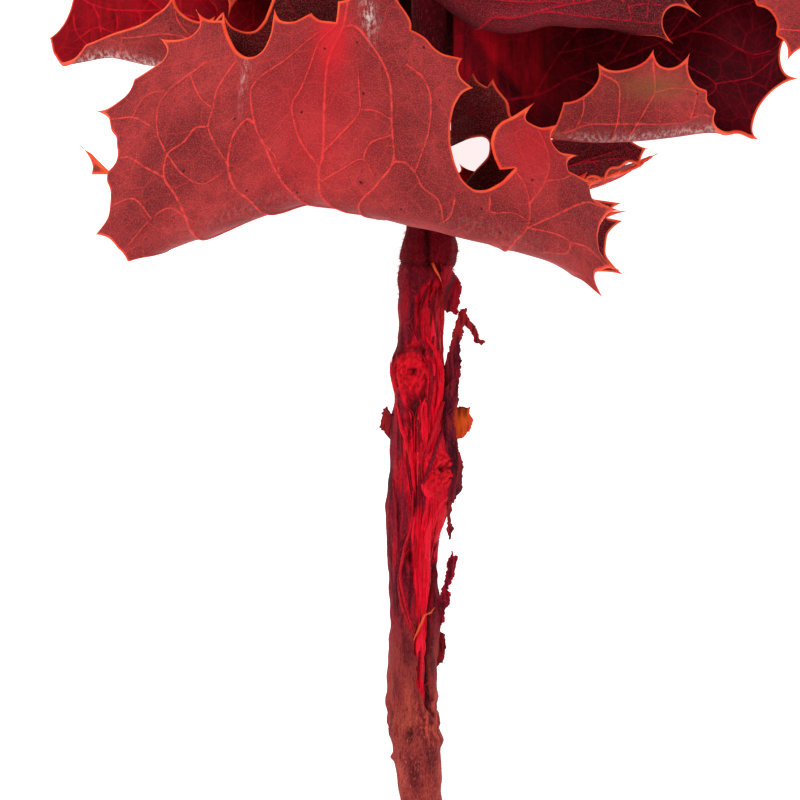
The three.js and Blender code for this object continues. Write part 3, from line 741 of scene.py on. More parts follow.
front_foot = (0, -33)
front_veins = [
    (0.55, [front_foot, (-4, -22), (-12, -9)] + on_front((-19.7, 4.5), (-20.4, 10.4), (-19.7, 13.8),
     (-19.4, 23), (-18.7, 31.7), (-16, 38), (-15, 43))),
    (0.34, on_front((-20.6, 11.6), (-23.8, 16.2), (-25.3, 20.5), (-25.5, 23.4), (-23.8, 26.4),
     (-22.3, 30.2), (-20.4, 35.1), (-17, 38.5))),
    (0.4, [front_foot, (-9, -20), (-19, -8)] + on_front((-24.8, 4.5), (-27.7, 8.9), (-31.1, 16.2),
     (-32.5, 19.6), (-33.2, 25.9), (-31.6, 28.3), (-26.2, 32.2), (-20.4, 37))),
    (0.36, on_front((-32.5, 19.6), (-34, 20.5), (-36.4, 17.6), (-37.6, 12.3), (-36.4, 7.5), (-33.5, 4.5))
     + [(-27, -8), (-14, -22)]),
    (0.32, on_front((-36.2, 31.2), (-39.3, 26.4), (-40.3, 22.5), (-41.2, 19.1), (-39.8, 15.7),
     (-37.6, 11.8))),
    (0.34, on_front((-41.2, 19.1), (-43.7, 18.8), (-45.9, 16.2), (-49, 13.8), (-49.5, 9.4), (-47.5, 6),
     (-45.6, 1.6), (-44.9, -1.8)) + [(-40, -9), (-22, -22)]),
    (0.28, on_front((-41.7, 31.2), (-44.6, 29), (-48.5, 25.9), (-50.5, 22.5), (-50.7, 17.6), (-49, 13.8))),
    (0.28, on_front((-49.5, 9.4), (-52.9, 11.3), (-56.3, 13.3), (-58.7, 13))),
    (0.26, on_front((-59.7, 20.5), (-55.3, 20.8), (-51.9, 19.1))),
    (0.4, on_front((-16, 38), (-13.6, 38), (-10.7, 34.6), (-8.3, 30.7), (-7.1, 26.8), (-6.8, 19.1),
     (-6.6, 12.5), (-9.3, 8.4), (-12.9, 2.8)) + [(-10, -9), (-3, -22)]),
]
front_veins += veins_on(
    on_front,
    (0.32, (-6.6, 12.5), (-4.4, 12.3), (-2.5, 10.4), (-1, 7.5), (1.9, 5), (3, 0)),
    (0.3, (-3.9, 30.7), (-1, 28.3), (0.4, 24.4), (0, 18.1), (-1.5, 13.3), (-2.5, 10.4)),
    (0.3, (-19.7, 14.2), (-16.5, 17.6), (-12.9, 22), (-12.9, 25.9), (-13.1, 29.7)),
    (0.24, (-12.9, 22.2), (-10.2, 22.2), (-6.8, 20.5)),
    (0.26, (-19.9, 8.5), (-16.5, 10.8), (-12.2, 13), (-10.2, 9.9)),
    (0.26, (-12.2, 13), (-10.8, 16), (-7, 17.5)),
    (0.24, (-49, 13.8), (-46, 10), (-42.4, 8.2), (-39, 10)),
    (0.24, (-31.1, 16.2), (-28.6, 13.2), (-27.7, 8.9)),
    (0.24, (-44.6, 29), (-42.6, 24.6), (-40.3, 22.5)),
    (0.22, (-55.3, 20.8), (-53, 24.6), (-48.5, 25.9)),
    (0.26, (-56, -3), (-52, 1.6), (-48.6, 3.6), (-45.6, 1.6)),
    (0.24, (-60, 4), (-55.5, 5.5), (-52, 1.6)),
)
front_veins += [
    (0.4, [front_foot, (7, -24), (13, -12)] + on_front((16.2, -4.2), (18.4, -0.3), (18.9, 4.5), (17.9, 8.4),
     (16, 11.1))),
]
front_veins += veins_on(
    on_front,
    (0.3, (18.4, -0.3), (25.2, 3.1), (31.5, 4.3), (35, 3.6)),
    (0.26, (11.6, 5), (11.6, 2.8), (16, 2.6), (18.6, 1.2)),
    (0.26, (4.9, 5), (4.1, 1.6), (2.4, -0.3)),
    (0.28, (18.4, -0.3), (24.7, -1.8), (26.4, -3.2), (25.7, -5.6), (21.8, -5.9)),
    (0.26, (26.4, -3.2), (30.5, -4.6), (34.6, -8)),
    (0.24, (18.9, 4.5), (21.8, 8.8), (22.4, 13.8), (20.4, 19)),
    (0.22, (21.8, 8.8), (25.6, 9.4), (28.4, 11.4)),
)


def front_stains(a, b):
    y = front_fold(a) + FRONT_RISE * b
    # Pale crackle painted as highlights: on the crease near the top, on a thin streak at the left, and along
    # the fold.
    crackle_and_highlight = 0.95 * np.exp(-((a + 10.9 - 0.14 * (38 - y)) / 1.1) ** 2 - ((y - 38) / 3.6) ** 2)
    crackle_and_highlight += 0.5 * np.exp(-((a + 34 - 0.12 * (y - 25)) / 0.5) ** 2 - ((y - 26) / 4.6) ** 2)
    crackle_and_highlight += 0.07 * np.exp(-((b - 1.5) / 3) ** 2) * np.exp(-((np.abs(a + 10) - 24) / 13) ** 2)
    # A painted glow where light would shine through the blade: at the top of the midrib, on the right lobe,
    # and over the middle.
    painted_glow = np.exp(-((a + 17.6) / 3.2) ** 2 - ((y - 34) / 7) ** 2)
    painted_glow += 0.6 * np.exp(-((a - 19) / 6) ** 2 - ((y - 14) / 8) ** 2)
    painted_glow += 0.4 * np.exp(-((a + 21) / 11) ** 2 - ((y - 17) / 16) ** 2)
    return np.column_stack([crackle_and_highlight, 0 * a, np.clip(painted_glow, 0, 1)])


leaf(
    "leaf_front", front_teeth,
    seated(
        folded(
            front_fold, front_depth, soften=3, front=(FRONT_RISE, 0.16), back=(0.13, -0.99), curl=0.0022),
        at=-2, foot=6.3),
    front_veins, crimson_skin, cell=1.0, stains=front_stains)

# ---- The stem -------------------------------------------------------------------------------------------
# One woody stem, swollen where leaves grew and cut square at its foot. The bark was torn open along its upper
# side when the lower leaves were pulled off, and shows red wood, two pitted knots and loose fibres.
STEM_TURNS = 128
WOUND_DEPTH = 0.95
left_edge = through([
    (-150, -4.1), (-125, -4.8), (-108.7, -5.5), (-104.9, -5.9), (-101.1, -6.4), (-95.4, -7.4),
    (-89.7, -7.8), (-80.2, -7.5), (-75.4, -7.2), (-68.8, -7.3), (-63.1, -7.8), (-59.3, -7.9), (-53.6, -8.1),
    (-50.7, -7.7), (-46, -7.4), (-42.2, -7.3), (-36.5, -7), (-32.7, -6.4), (-29.8, -6.6), (-27, -6.9),
    (-24.5, -6.6), (-21.3, -5.7), (-13.7, -5.6), (-8, -5.7), (-3.6, -5.1), (0, -4.2), (10, -4.1),
    (94, -1.5)])
right_edge = through([
    (-150, 4.9), (-125, 3.9), (-108.7, 2.7), (-104.9, 2.7), (-101.1, 2.6), (-95.4, 2), (-89.7, 1.8),
    (-80.2, 2), (-75.4, 2.6), (-68.8, 2.1), (-63.1, 1.8), (-59.3, 2.1), (-53.6, 3.6), (-50.7, 4.2),
    (-46, 4.4), (-40, 3.7), (-29.8, 3.2), (-24.5, 3), (-17.5, 2.9), (-13.7, 3.2), (-9.5, 4.6), (-3.6, 5.7),
    (0, 4.8), (10, 4.6), (94, 1.5)])
wound_left = through([
    (-95, 0.9), (-92.5, 0.4), (-88.4, -1.6), (-82.3, -2.4), (-76.3, -2.5), (-72, -2.3), (-66, -3.2),
    (-58, -3.7), (-52, -3.8), (-46, -4.5), (-40, -4.8), (-34, -4.9), (-30.5, -6.2), (-25.4, -6.2),
    (-22.6, -3.6), (-18, -2.8), (-12, -1.9), (-9, 1.2)])
wound_right = through([
    (-95, 0.2), (-90, -0.2), (-85, -0.3), (-78.3, -0.2), (-73, 0.2), (-68, 1.1), (-63, 2.1), (-57, 4),
    (-50, 5), (-12, 5), (-9, 1)])
cleft_line = through([
    (-93, 0.6), (-88, 0.2), (-82, 0.1), (-76, 0.2), (-72, 0.4), (-68, 1.3), (-63, 2.2), (-57, 2.8)])
# Each knot: its place across and along the stem, and its size
knots = ((-3, -27.6, 3.5), (2.7, -46.2, 3.1))


FIBRE_HEIGHT = 0.42
HOLLOW_DEPTH = 0.85
PIT_DEPTH = 0.8
SCAR_HEIGHT = 0.7
RING_DEPTH = 0.32
GROOVE_DEPTH = 0.75
CLEFT_DEPTH = 1.3
NODE_AT = -93


def stem_span(y):
    """The middle of the stem at a height along it, and half its width."""
    left, right = left_edge(y), right_edge(y)
    return (left + right) / 2, (right - left) / 2


def stem_relief(turn, y):
    """The height above the plain stem, how far the wood is bared, the painted shade in the hollows, pits,
    groove and cleft of the wound together with darker marks on the scars and the ring, how far a knot stands
    out, and the ribs of the fibres."""
    middle, half = stem_span(y)
    x = middle + half * np.sin(turn)
    face = np.cos(turn)
    around = half * turn
    ragged = 0.9 * rough(np.column_stack([x, y / 5, 0 * y]), 0.8, 3) + 0.5 * rough(
        np.column_stack([x, y, face]), 1.6, 4)
    bared = np.minimum(x - wound_left(y), wound_right(y) - x) + ragged
    bared = smooth(bared / 0.7 + 0.3) * smooth((face + 0.25) / 0.3)
    bared = bared * smooth((y + 96) / 3) * smooth((-8 - y) / 3)

    swirl = 0 * y
    boss = 0 * y
    pit = 0 * y
    for knot_x, knot_y, size in knots:
        d = np.hypot(x - knot_x, (y - knot_y) * 0.85)
        near = np.exp(-(d / (2.1 * size)) ** 2) * (face > 0)
        swirl = swirl + 2 * near * np.sign(x - knot_x) * smooth(np.abs(x - knot_x) / 1.5)
        boss = boss + (face > 0) * (0.95 * np.exp(-((d - 0.5 * size) / (0.5 * size)) ** 2))
        pit = pit + (face > 0) * np.exp(-(((x - knot_x - 0.1 * size) / (0.3 * size)) ** 2
                                          + ((y - knot_y - 0.1 * size) / (0.2 * size)) ** 2))
    pits = smooth((rough(np.column_stack([x, y, 0 * y]), 0.62, 14) - 0.02) / 0.2)
    pits = pits * np.clip(boss + pit, 0, 1)
    grain_place = np.column_stack([around - swirl, y / 11, 0 * y])
    fibres = 1 - 2.4 * np.abs(rough(grain_place, 1.5, 5))
    strands = 1 - 2.4 * np.abs(rough(grain_place, 0.5, 6))
    hollow = smooth((-rough(grain_place, 1.5, 7) - 0.16) / 0.2) * bared * (1 - np.clip(boss, 0, 1))
    bark_furrow = rough(np.column_stack([around, y / 9, 0 * y]), 1.1, 8)
    bark_lumps = rough(np.column_stack([around, y, 0 * y]), 2.6, 9)

    height = (1 - bared) * (0.2 * bark_furrow + 0.28 * bark_lumps)
    wound_floor = -WOUND_DEPTH * np.maximum(face, 0) ** 0.6
    height = height + bared * (wound_floor + FIBRE_HEIGHT * fibres + 0.12 * strands)
    height = height - HOLLOW_DEPTH * hollow + boss - PIT_DEPTH * pit - 0.42 * pits

    arch = 22.9 + 0.1 * (x + 2.2) ** 2
    scar = np.exp(-((y + arch) / 0.8) ** 2) * (face > 0) * smooth((x + 6) / 1) * smooth((1.6 - x) / 1)
    ring = np.exp(-((y + 7 + 0.12 * x) / 0.55) ** 2)
    groove = np.exp(-((x + 0.4 + 0.08 * y) / 0.42) ** 2) * smooth((y + 8) / 1.5) * (face > 0)
    cleft = np.exp(-((x - cleft_line(y)) / 0.48) ** 2) * smooth((y + 94) / 3) * smooth((-57 - y) / 5)
    cleft = cleft * (face > 0)
    crust = rough(np.column_stack([x, y, face]), 0.8, 16)
    node = np.exp(-((y - NODE_AT) / 4.4) ** 4) * (0.5 * bark_lumps + 0.25 * bark_furrow + 0.3 * crust)
    leaf_scar = np.exp(-(((x + 3.4) / 0.9) ** 2 + ((y + 96.6) / 1.5) ** 2)) * (face > 0)
    spur = 1.1 * np.exp(-(((y + 97.6) / 1.5) ** 2 + ((turn - 1.35) / 0.5) ** 2))
    spur = spur + 0.6 * np.exp(-(((y + 101) / 0.6) ** 2 + ((turn + 1.5) / 0.25) ** 2))
    height = height + SCAR_HEIGHT * scar - RING_DEPTH * ring - GROOVE_DEPTH * groove - CLEFT_DEPTH * cleft
    height = height + node - PIT_DEPTH * leaf_scar + spur
    # Painted shade in the hollows, pits, groove and cleft of the wound, and darker marks on the scars and on
    # the ring round the stem.
    shade_and_dark_marks = hollow + 0.7 * pit + 0.55 * pits + 0.7 * groove + cleft
    shade_and_dark_marks = np.clip(shade_and_dark_marks + 0.8 * leaf_scar + 0.5 * ring + 0.75 * scar, 0, 1)
    knotty = np.clip(boss, 0, 1) * (1 - np.clip(pit, 0, 1))
    return height, bared, shade_and_dark_marks, knotty, fibres


def stem_place(turn, y, lift=0.0, relief=None):
    """The place on the stem's skin at an angle round it and a height along it, lifted off it by `lift`."""
    middle, half = stem_span(y)
    height = lift + (stem_relief(turn, y)[0] if relief is None else relief)
    return np.column_stack([
        middle + (half + height) * np.sin(turn),
        y,
        (0.96 * stem_half_width(y) + height) * np.cos(turn)])


# The stem's rings: the first ones close its cut end, the last ones its tip, and they are closest at the wound
cut_shares = [0.04, 0.2, 0.4, 0.6, 0.8, 0.92, 0.98]
tip_shares = [0.8, 0.4, 0.05]
levels = np.concatenate([
    np.full(7, -STEM_LENGTH + 0.0), np.arange(-149.7, -110, 0.8), np.arange(-110, 3, 0.33),
    np.arange(3, STEM_TOP, 1.4), [STEM_TOP] * 3])
shares = np.concatenate([cut_shares, np.ones(len(levels) - 10), tip_shares])
turns = np.linspace(-math.pi, math.pi, STEM_TURNS, endpoint=False)
y = np.repeat(levels, STEM_TURNS)
turn = np.tile(turns, len(levels))
share = np.repeat(shares, STEM_TURNS)
height, bared, shade_and_dark_marks, knotty, fibres = stem_relief(turn, y)
skin = stem_place(turn, y, relief=height)
core = np.column_stack([stem_span(y)[0], y, 0 * y])
skin = core + (skin - core) * share[:, None]
cut = (share < 1) & (y < 0)
skin[cut, 1] -= 0.12 * rough(skin[cut], 1.2, 11) + 0.15
ring_count = len(levels)
quads = [
    (i * STEM_TURNS + j, i * STEM_TURNS + (j + 1) % STEM_TURNS,
     (i + 1) * STEM_TURNS + (j + 1) % STEM_TURNS, (i + 1) * STEM_TURNS + j)
    for i in range(ring_count - 1) for j in range(STEM_TURNS)]
caps = [list(range(STEM_TURNS))[::-1], [(ring_count - 1) * STEM_TURNS + j for j in range(STEM_TURNS)]]


def mixed(first, second, amount):
    amount = np.clip(amount, 0, 1)[:, None]
    return np.asarray(first)[..., :3] * (1 - amount) + np.asarray(second)[..., :3] * amount


def tinged(tone, tinges):
    """Tones with colours laid over them in turn. Each is (red, green, blue), amount."""
    for hue, amount in tinges:
        tone = mixed(tone, colour(*hue), amount)
    return tone


# The broad colours of the bark change along the stem. The wood is crimson, and pale where it is cut.
blot = rough(np.column_stack([skin[:, 0], y / 3, skin[:, 2]]), 2.4, 12)
fine_blot = rough(np.column_stack([skin[:, 0], y / 5, skin[:, 2]]), 0.7, 13)
streak = rough(np.column_stack([skin[:, 0], y / 14, 0 * y]), 0.6, 15)
upper_side = np.cos(turn) > 0
crusty = np.exp(-((y - NODE_AT) / 5) ** 4) * np.exp(-((skin[:, 0] - 0.2) / 3) ** 2) * upper_side
streaked = smooth((y + 78) / 6) * smooth((-9 - y) / 8) * upper_side
tone = tinged(colour(150, 54, 52), [
    ((128, 12, 36), smooth((y + 84) / 14) * 0.9),
    ((140, 4, 30), smooth((y + 30) / 8) * 0.7),
    ((116, 2, 22), smooth((y + 9) / 4)),
    ((66, 6, 24), 0.6 * smooth(blot / 0.5)),
    ((196, 84, 66), 0.5 * smooth(-blot / 0.6) * smooth((-84 - y) / 6)),
    # painted shade: the stem above the head lies in the leaves' shade and is darkened almost to black
    ((30, 0, 8), 0.85 * smooth((y - 4) / 6) * smooth((60 - y) / 30)),
    ((222, 84, 66), 0.85 * crusty * smooth(fine_blot / 0.3)),
    ((96, 10, 26), 0.85 * crusty * smooth(-fine_blot / 0.3)),
    ((196, 6, 34), 0.75 * smooth(streak / 0.35 - 0.2) * streaked),
    ((70, 2, 20), 0.8 * smooth(-streak / 0.35 - 0.2) * streaked)])
wood = tinged(colour(214, 0, 32), [
    ((246, 16, 46), 0.5 + fine_blot),
    ((136, 0, 22), 0.75 * smooth(-fibres / 0.8) + 0.25 * smooth(blot / 0.4)),
    ((160, 4, 26), 0.4 * smooth((y + 36) / 20))])
tone = tinged(mixed(tone, wood, smooth(bared * 1.6 - 0.3)), [
    ((232, 6, 32), knotty * 0.9),
    # painted shade in the wound's hollows, pits, groove and cleft, and darker scars and ring
    ((28, 0, 8), shade_and_dark_marks * 0.92),
    ((196, 92, 84), cut * 0.85)])
stem = shaped("stem_wood", skin, quads + caps)
put(stem.data, "tone", tone)
put(stem.data, "bared", bared)
put(stem.data, "place", skin)
put(stem.data, "low", smooth((-88 - y) / 8))
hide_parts("stem")
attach(stem, "root")

bark, bark_shader, start = new_finish("bark_and_wood")
tone_field = start.attribute("tone", "Color")
wood_field = start.attribute("bared")
place = start.attribute("place", "Vector")
streaks = start.noise(place.stretched((1, 0.09, 1)), 2.6, 4, 0.7)
hairline = start.noise(place.stretched((1, 0.05, 1)), 7, 3, 0.75)
speckle = start.noise(place.stretched((1, 0.45, 1)), 3.4, 4, 0.8)
low_bark = start.attribute("low")
pore_inputs = {"Vector": place.stretched((1, 0.5, 1)), "Scale": 0.95}
pores = start.node("ShaderNodeTexVoronoi", {"feature": "F1"}, pore_inputs, "Distance")
pores = pores.step(0.16, 0.06) * (1 - wood_field) * low_bark
rough_bark = speckle * (1 - wood_field)
tone_field.coated([
    (streaks.step(0.5, 0.68) * 0.6, tone_field.tinted(colour(96, 60, 70), 1.0)),
    (hairline.step(0.55, 0.7) * (0.25 + 0.25 * wood_field), colour(246, 70, 70)),
    (hairline.step(0.42, 0.3) * 0.5, tone_field.tinted(colour(60, 20, 30), 1.0)),
    (rough_bark.step(0.5, 0.66) * 0.6, tone_field.tinted(colour(120, 70, 80), 1.0)),
    ((1 - speckle).step(0.52, 0.68) * (0.12 + 0.4 * low_bark), colour(204, 104, 88)),
    (pores * 0.55, colour(206, 116, 96)),
]).feeds(bark_shader, "Base Color")
(0.72 - 0.3 * wood_field).feeds(bark_shader, "Roughness")
bark_shader.inputs["Specular IOR Level"].default_value = GLOSS
relief = streaks * 0.6 + hairline * 0.5 + pores * 0.5 + speckle * 0.9
bump_inputs = {"Strength": 0.55, "Distance": 0.0004, "Height": relief}
start.node("ShaderNodeBump", {}, bump_inputs, "Normal").feeds(bark_shader, "Normal")
stem.data.materials.append(bark)

# ---- Loose fibres and hairs -----------------------------------------------------------------------------
# Wood fibres lie loose in the wound and lift from its torn edges, and the young bark at the top of the stem
# is covered in short fine hairs. They are part of the stem, as thin closed strands.
LOOSE_FIBRES = 84
LIFTED_FIBRES = 26
BARK_HAIRS = 900
FIBRE_STEPS = 22
fibre_hues = [colour(230, 2, 36), colour(186, 0, 28), colour(246, 24, 52), colour(120, 4, 26)]
lifted_hues = [colour(206, 20, 40), colour(110, 14, 32), colour(160, 30, 40)]


def turn_to(x, y):
    """The angle round the stem of a place on its upper side."""
    middle, half = stem_span(y)
    return np.arcsin(np.clip((x - middle) / half, -0.97, 0.97))


def eased(line, times):
    """The line with its kinks taken out."""
    for _ in range(times):
        line[1:-1] = (line[:-2] + line[1:-1] * 2 + line[2:]) / 4
    return line


def strands(name, runs, sides=5):
    """Thin closed strands joined in one piece. Each is (its places, its radius at each place, its colour)."""
    places, faces, tones = [], [], []
    for line, radii, hue in runs:
        line = np.asarray(line, float)
        run = np.gradient(line, axis=0)
        run /= np.linalg.norm(run, axis=1)[:, None]
        first_side = np.cross(run, [0.31, 0.17, 0.94])
        first_side /= np.linalg.norm(first_side, axis=1)[:, None]
        second_side = np.cross(run, first_side)
        base = sum(map(len, places))
        ring = []
        for k in range(sides):
            angle = 2 * math.pi * k / sides
            radius = np.asarray(radii)[:, None]
            ring.append(line + radius * (first_side * math.cos(angle) + second_side * math.sin(angle)))
        places.append(np.stack(ring, 1).reshape(-1, 3))
        count = len(line)
        for i in range(count - 1):
            for k in range(sides):
                turned = (k + 1) % sides
                faces.append((
                    base + i * sides + k, base + i * sides + turned,
                    base + (i + 1) * sides + turned, base + (i + 1) * sides + k))
        faces.append([base + k for k in range(sides)][::-1])
        faces.append([base + (count - 1) * sides + k for k in range(sides)])
        tones.append(np.tile(np.asarray(hue)[:3], (count * sides, 1)))
    places = np.vstack(places)
    piece = shaped(name, places, faces)
    put(piece.data, "tone", np.vstack(tones))
    put(piece.data, "bared", np.ones(len(places)))
    put(piece.data, "place", places)
    piece.data.materials.append(bark)
    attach(piece, "root")


random = np.random.default_rng(7)
runs = []
for _ in range(LOOSE_FIBRES):
    low = random.uniform(-88, -20)
    length = random.uniform(6, 24)
    high = min(low + length, -11)
    height = np.linspace(low, high, FIBRE_STEPS)
    lane = random.uniform(0.06, 0.94)
    x = np.minimum(wound_right(height), right_edge(height)) - wound_left(height)
    x = wound_left(height) + lane * x
    x = x + 0.3 * np.sin(height / random.uniform(2.5, 5) + random.uniform(0, 6))
    for knot_x, knot_y, size in knots:
        room = 1.25 * size * np.sqrt(np.maximum(0, 1 - ((height - knot_y) / (1.9 * size)) ** 2))
        away = x - knot_x
        x = np.where(np.abs(away) < room, knot_x + np.where(away < 0, -1, 1) * room, x)
    radius = random.choice([0.1, 0.24, 0.48, 0.75], p=[0.25, 0.25, 0.3, 0.2]) * random.uniform(0.8, 1.3)
    lift = 0.12 - 0.62 * radius + random.uniform(0, 0.5) * np.linspace(0, 1, FIBRE_STEPS) ** 4
    line = eased(stem_place(turn_to(x, height), height, lift), 3)
    radii = radius * np.sin(np.linspace(0.2, 3, FIBRE_STEPS)) ** 0.7
    runs.append((line, np.maximum(radii, 0.02), fibre_hues[random.integers(4)]))
for _ in range(LIFTED_FIBRES):
    low = random.uniform(-88, -12)
    side = random.choice([-1, 1])
    edge = wound_left(low) if side < 0 else min(wound_right(low), right_edge(low))
    middle, half = stem_span(low)
    at_edge = math.asin(np.clip((edge - middle) / half, -0.98, 0.98))
    begin = stem_place(np.array([at_edge]), np.array([low]))[0]
    t = np.linspace(0, 1, 9)[:, None]
    reach = random.uniform(1.5, 5)
    aside = side * random.uniform(0.1, 0.7)
    aim_off = np.array([aside, random.choice([-1, 1]) * random.uniform(0.4, 1), 0.5])
    curl = np.array([side * 0.3, 0, random.uniform(-0.4, 0.6)])
    line = begin + t * reach * aim_off + t * t * reach * curl
    runs.append((line, 0.1 * (1 - 0.8 * t[:, 0]), lifted_hues[random.integers(3)]))
strands("loose_fibres", runs)

runs = []
for _ in range(BARK_HAIRS):
    low = -16 + 16 * random.random() ** 0.7 if random.random() < 0.7 else random.uniform(-120, -16)
    turn_at = random.uniform(-math.pi, math.pi)
    begin = stem_place(np.array([turn_at]), np.array([low]))[0]
    outward = np.array([math.sin(turn_at), random.uniform(-0.5, 0.5), math.cos(turn_at)])
    t = np.linspace(0, 1, 4)[:, None]
    line = begin + t * random.uniform(0.3, 0.85) * outward + t * t * random.uniform(-0.2, 0.2, 3)
    runs.append((line, 0.045 * (1 - 0.7 * t[:, 0]), colour(150, 40, 44)))
strands("bark_hairs", runs, sides=3)


def on_bark(*points, lift=0.1):
    """A line drawn on the stem's front through points across and along it."""
    x, y = drawn_line(points, 0.5).T
    return eased(stem_place(turn_to(x, y), y, lift), 2)


torn_edges = [
    (on_bark((-2.9, -50), (-3.2, -56), (-4.4, -61), (-5.2, -66.4), (-4.4, -71), (-3.4, -75), (-2.6, -78)),
     0.3),
    (on_bark((-5.6, -66), (-5.3, -70), (-4.2, -74), (-2.8, -77.6)), 0.26),
    (on_bark((-0.6, -20), (1.4, -23.4), (2.7, -27.6), (2.3, -33), (1.2, -38)), 0.62),
    (on_bark((-1.6, -23.4), (0.4, -26.4), (0.9, -30.4), (0.2, -36)), 0.5),
    (on_bark((-5.8, -33.6), (-5, -38), (-3.4, -44), (-2.4, -52)), 0.42),
    (on_bark((3.4, -33), (3, -38), (1.6, -42), (-0.4, -47.4), (-1.6, -52)), 0.34),
    (on_bark((-6.4, -48), (-5.9, -56), (-5.8, -62)), 0.24)]
torn_hues = [colour(196, 20, 40), colour(178, 24, 40), colour(222, 2, 34), colour(150, 0, 26),
             colour(228, 6, 36), colour(120, 12, 36), colour(150, 10, 34)]
runs = [
    (line, radius * np.sin(np.linspace(0.15, 3, len(line))) ** 0.6 + 0.02, hue)
    for (line, radius), hue in zip(torn_edges, torn_hues)]
strands("torn_edges", runs, sides=7)

runs = [
    ([(-2.7, -78.5, 4.4), (-1.6, -76, 4.9), (-0.6, -73.7, 5.2), (0.6, -73.2, 5.4), (1.3, -72.2, 5)],
     [0.14, 0.2, 0.2, 0.16, 0.05], colour(232, 96, 50)),
    ([(0.9, -6.6, 5.6), (1.5, -8, 5.9), (2.1, -9, 6), (2.6, -10.2, 5.6)], [0.3, 0.28, 0.2, 0.05],
        colour(240, 96, 50)),
    ([(3, -33, 3.2), (1.8, -37, 4.4), (0.2, -41.5, 4.9), (-1.6, -46.4, 4.6)], [0.35, 0.42, 0.34, 0.08],
     colour(190, 10, 34)),
    ([(-6.6, -35.6, 1.6), (-7.4, -35.4, 2), (-8.1, -34.6, 2.2), (-7.7, -33.9, 2.3)],
     [0.22, 0.2, 0.14, 0.04], colour(120, 30, 36)),
]
strands("long_splinters", runs, sides=6)

# ---- Torn bark ------------------------------------------------------------------------------------------
# Strips of bark that hang on by their roots along the sides of the wound, and one curled orange flake. They
# are thin, stiff and ragged, dark on the outside and redder within, and split along their grain.
STRIP_GAP = 0.5
STRIP_THICKNESS = 0.5


def torn_strip(
        name, side, outline, depth, lean, outer, inner, curl=0.1, grain_size=0.5,
        redder_from=9, wrapped=False):
    """A strip beside the stem. An outline's first number is the distance out from the bark. depth is its
    place from back to front, and lean how much it comes forward for each millimetre up the stem. Above
    redder_from it turns to its inner colour. A wrapped strip still bends round the stem."""
    def bark_line(y):
        return stem_drift(y) + side * (stem_half_width(y) + STRIP_GAP)

    corners = []
    for out, y in outline:
        edge = right_edge(y) if side > 0 else left_edge(y)
        root = side * float(edge - bark_line(y)) - 0.7
        corners.append((root if 0 <= out < 0.31 else out, y))
    edge = []
    for start, end in zip(corners, corners[1:] + corners[:1]):
        start, end = np.array(start), np.array(end)
        count = max(2, round(np.hypot(*(end - start)) / 0.28))
        edge += [start + (end - start) * k / count for k in range(count)]
    edge = np.array(edge)
    ragged = 0.34 * rough(edge, 0.9, len(outline)) + 0.3 * rough(edge, 0.33, depth + 9)
    free = 1 if wrapped else smooth((edge[:, 0] + 0.4) / 0.8)
    edge = edge + sides_of(np.vstack([edge, edge[:2]]))[:-2] * (ragged * free)[:, None]
    low, high = edge.min(0), edge.max(0)
    grid = np.array([
        (x, y) for y in np.arange(low[1], high[1], 0.3) for x in np.arange(low[0], high[0], 0.22)])
    lines = (edge, np.roll(edge, -1, axis=0), np.ones(len(edge)))
    grid = grid[inside_of(grid, edge)]
    grid = grid[distance_to(grid, *lines)[0] > 0.14]
    flat, triangles = filled(edge, np.vstack([edge, grid]), 0.01)
    if side < 0:
        triangles = triangles[:, ::-1]
    a, b = flat.T
    from_edge = distance_to(flat, *lines)[0]
    grain = rough(np.column_stack([a, b / 7]), grain_size, depth + 2)
    fine = rough(np.column_stack([a, b / 5]), grain_size / 2.5, depth + 5)
    z = depth + lean * (b - outline[0][1]) + curl * a * np.abs(a) + 0.5 * rough(flat, 4, depth + 1)
    if wrapped:
        stem_middle, half = stem_span(b)
        off_axis = (bark_line(b) + a - stem_middle) / (half + 1.2)
        z = (stem_half_width(b) + 0.7) * np.sqrt(np.clip(1 - off_axis ** 2, 0.1, 1))
        z = z + 0.25 * rough(flat, 2, depth)
    middle = np.column_stack([bark_line(b) + side * a, b, side * z])
    thick = STRIP_THICKNESS * (0.3 + 0.7 * np.clip(from_edge / 0.4, 0, 1)) * (1 + 0.5 * grain)
    lift = np.column_stack([0 * a, 0 * a, thick / 2 + 0.1 * fine])
    drop = np.column_stack([0 * a, 0 * a, -thick / 2 + 0.1 * fine])
    redder = 0.5 * smooth(grain / 0.4) + 0.6 * np.exp(-from_edge / 0.25)
    front_tone = mixed(outer, inner, redder + 0.8 * smooth((b - redder_from) / 6))
    front_tone = mixed(front_tone, colour(40, 4, 16), 0.7 * smooth(-grain / 0.35 - 0.2))
    back_tone = mixed(inner, outer, 0.4 * smooth(fine / 0.4))
    piece = closed_sheet(f"{name}_torn", flat, triangles, middle + lift, middle + drop, {
        "tone": np.vstack([front_tone, back_tone]),
        "bared": np.concatenate([0.2 + 0 * a, 0.6 + 0 * a]),
        "place": np.vstack([middle + lift, middle + drop])})
    piece.data.materials.append(bark)
    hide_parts(name)
    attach(piece, "root")


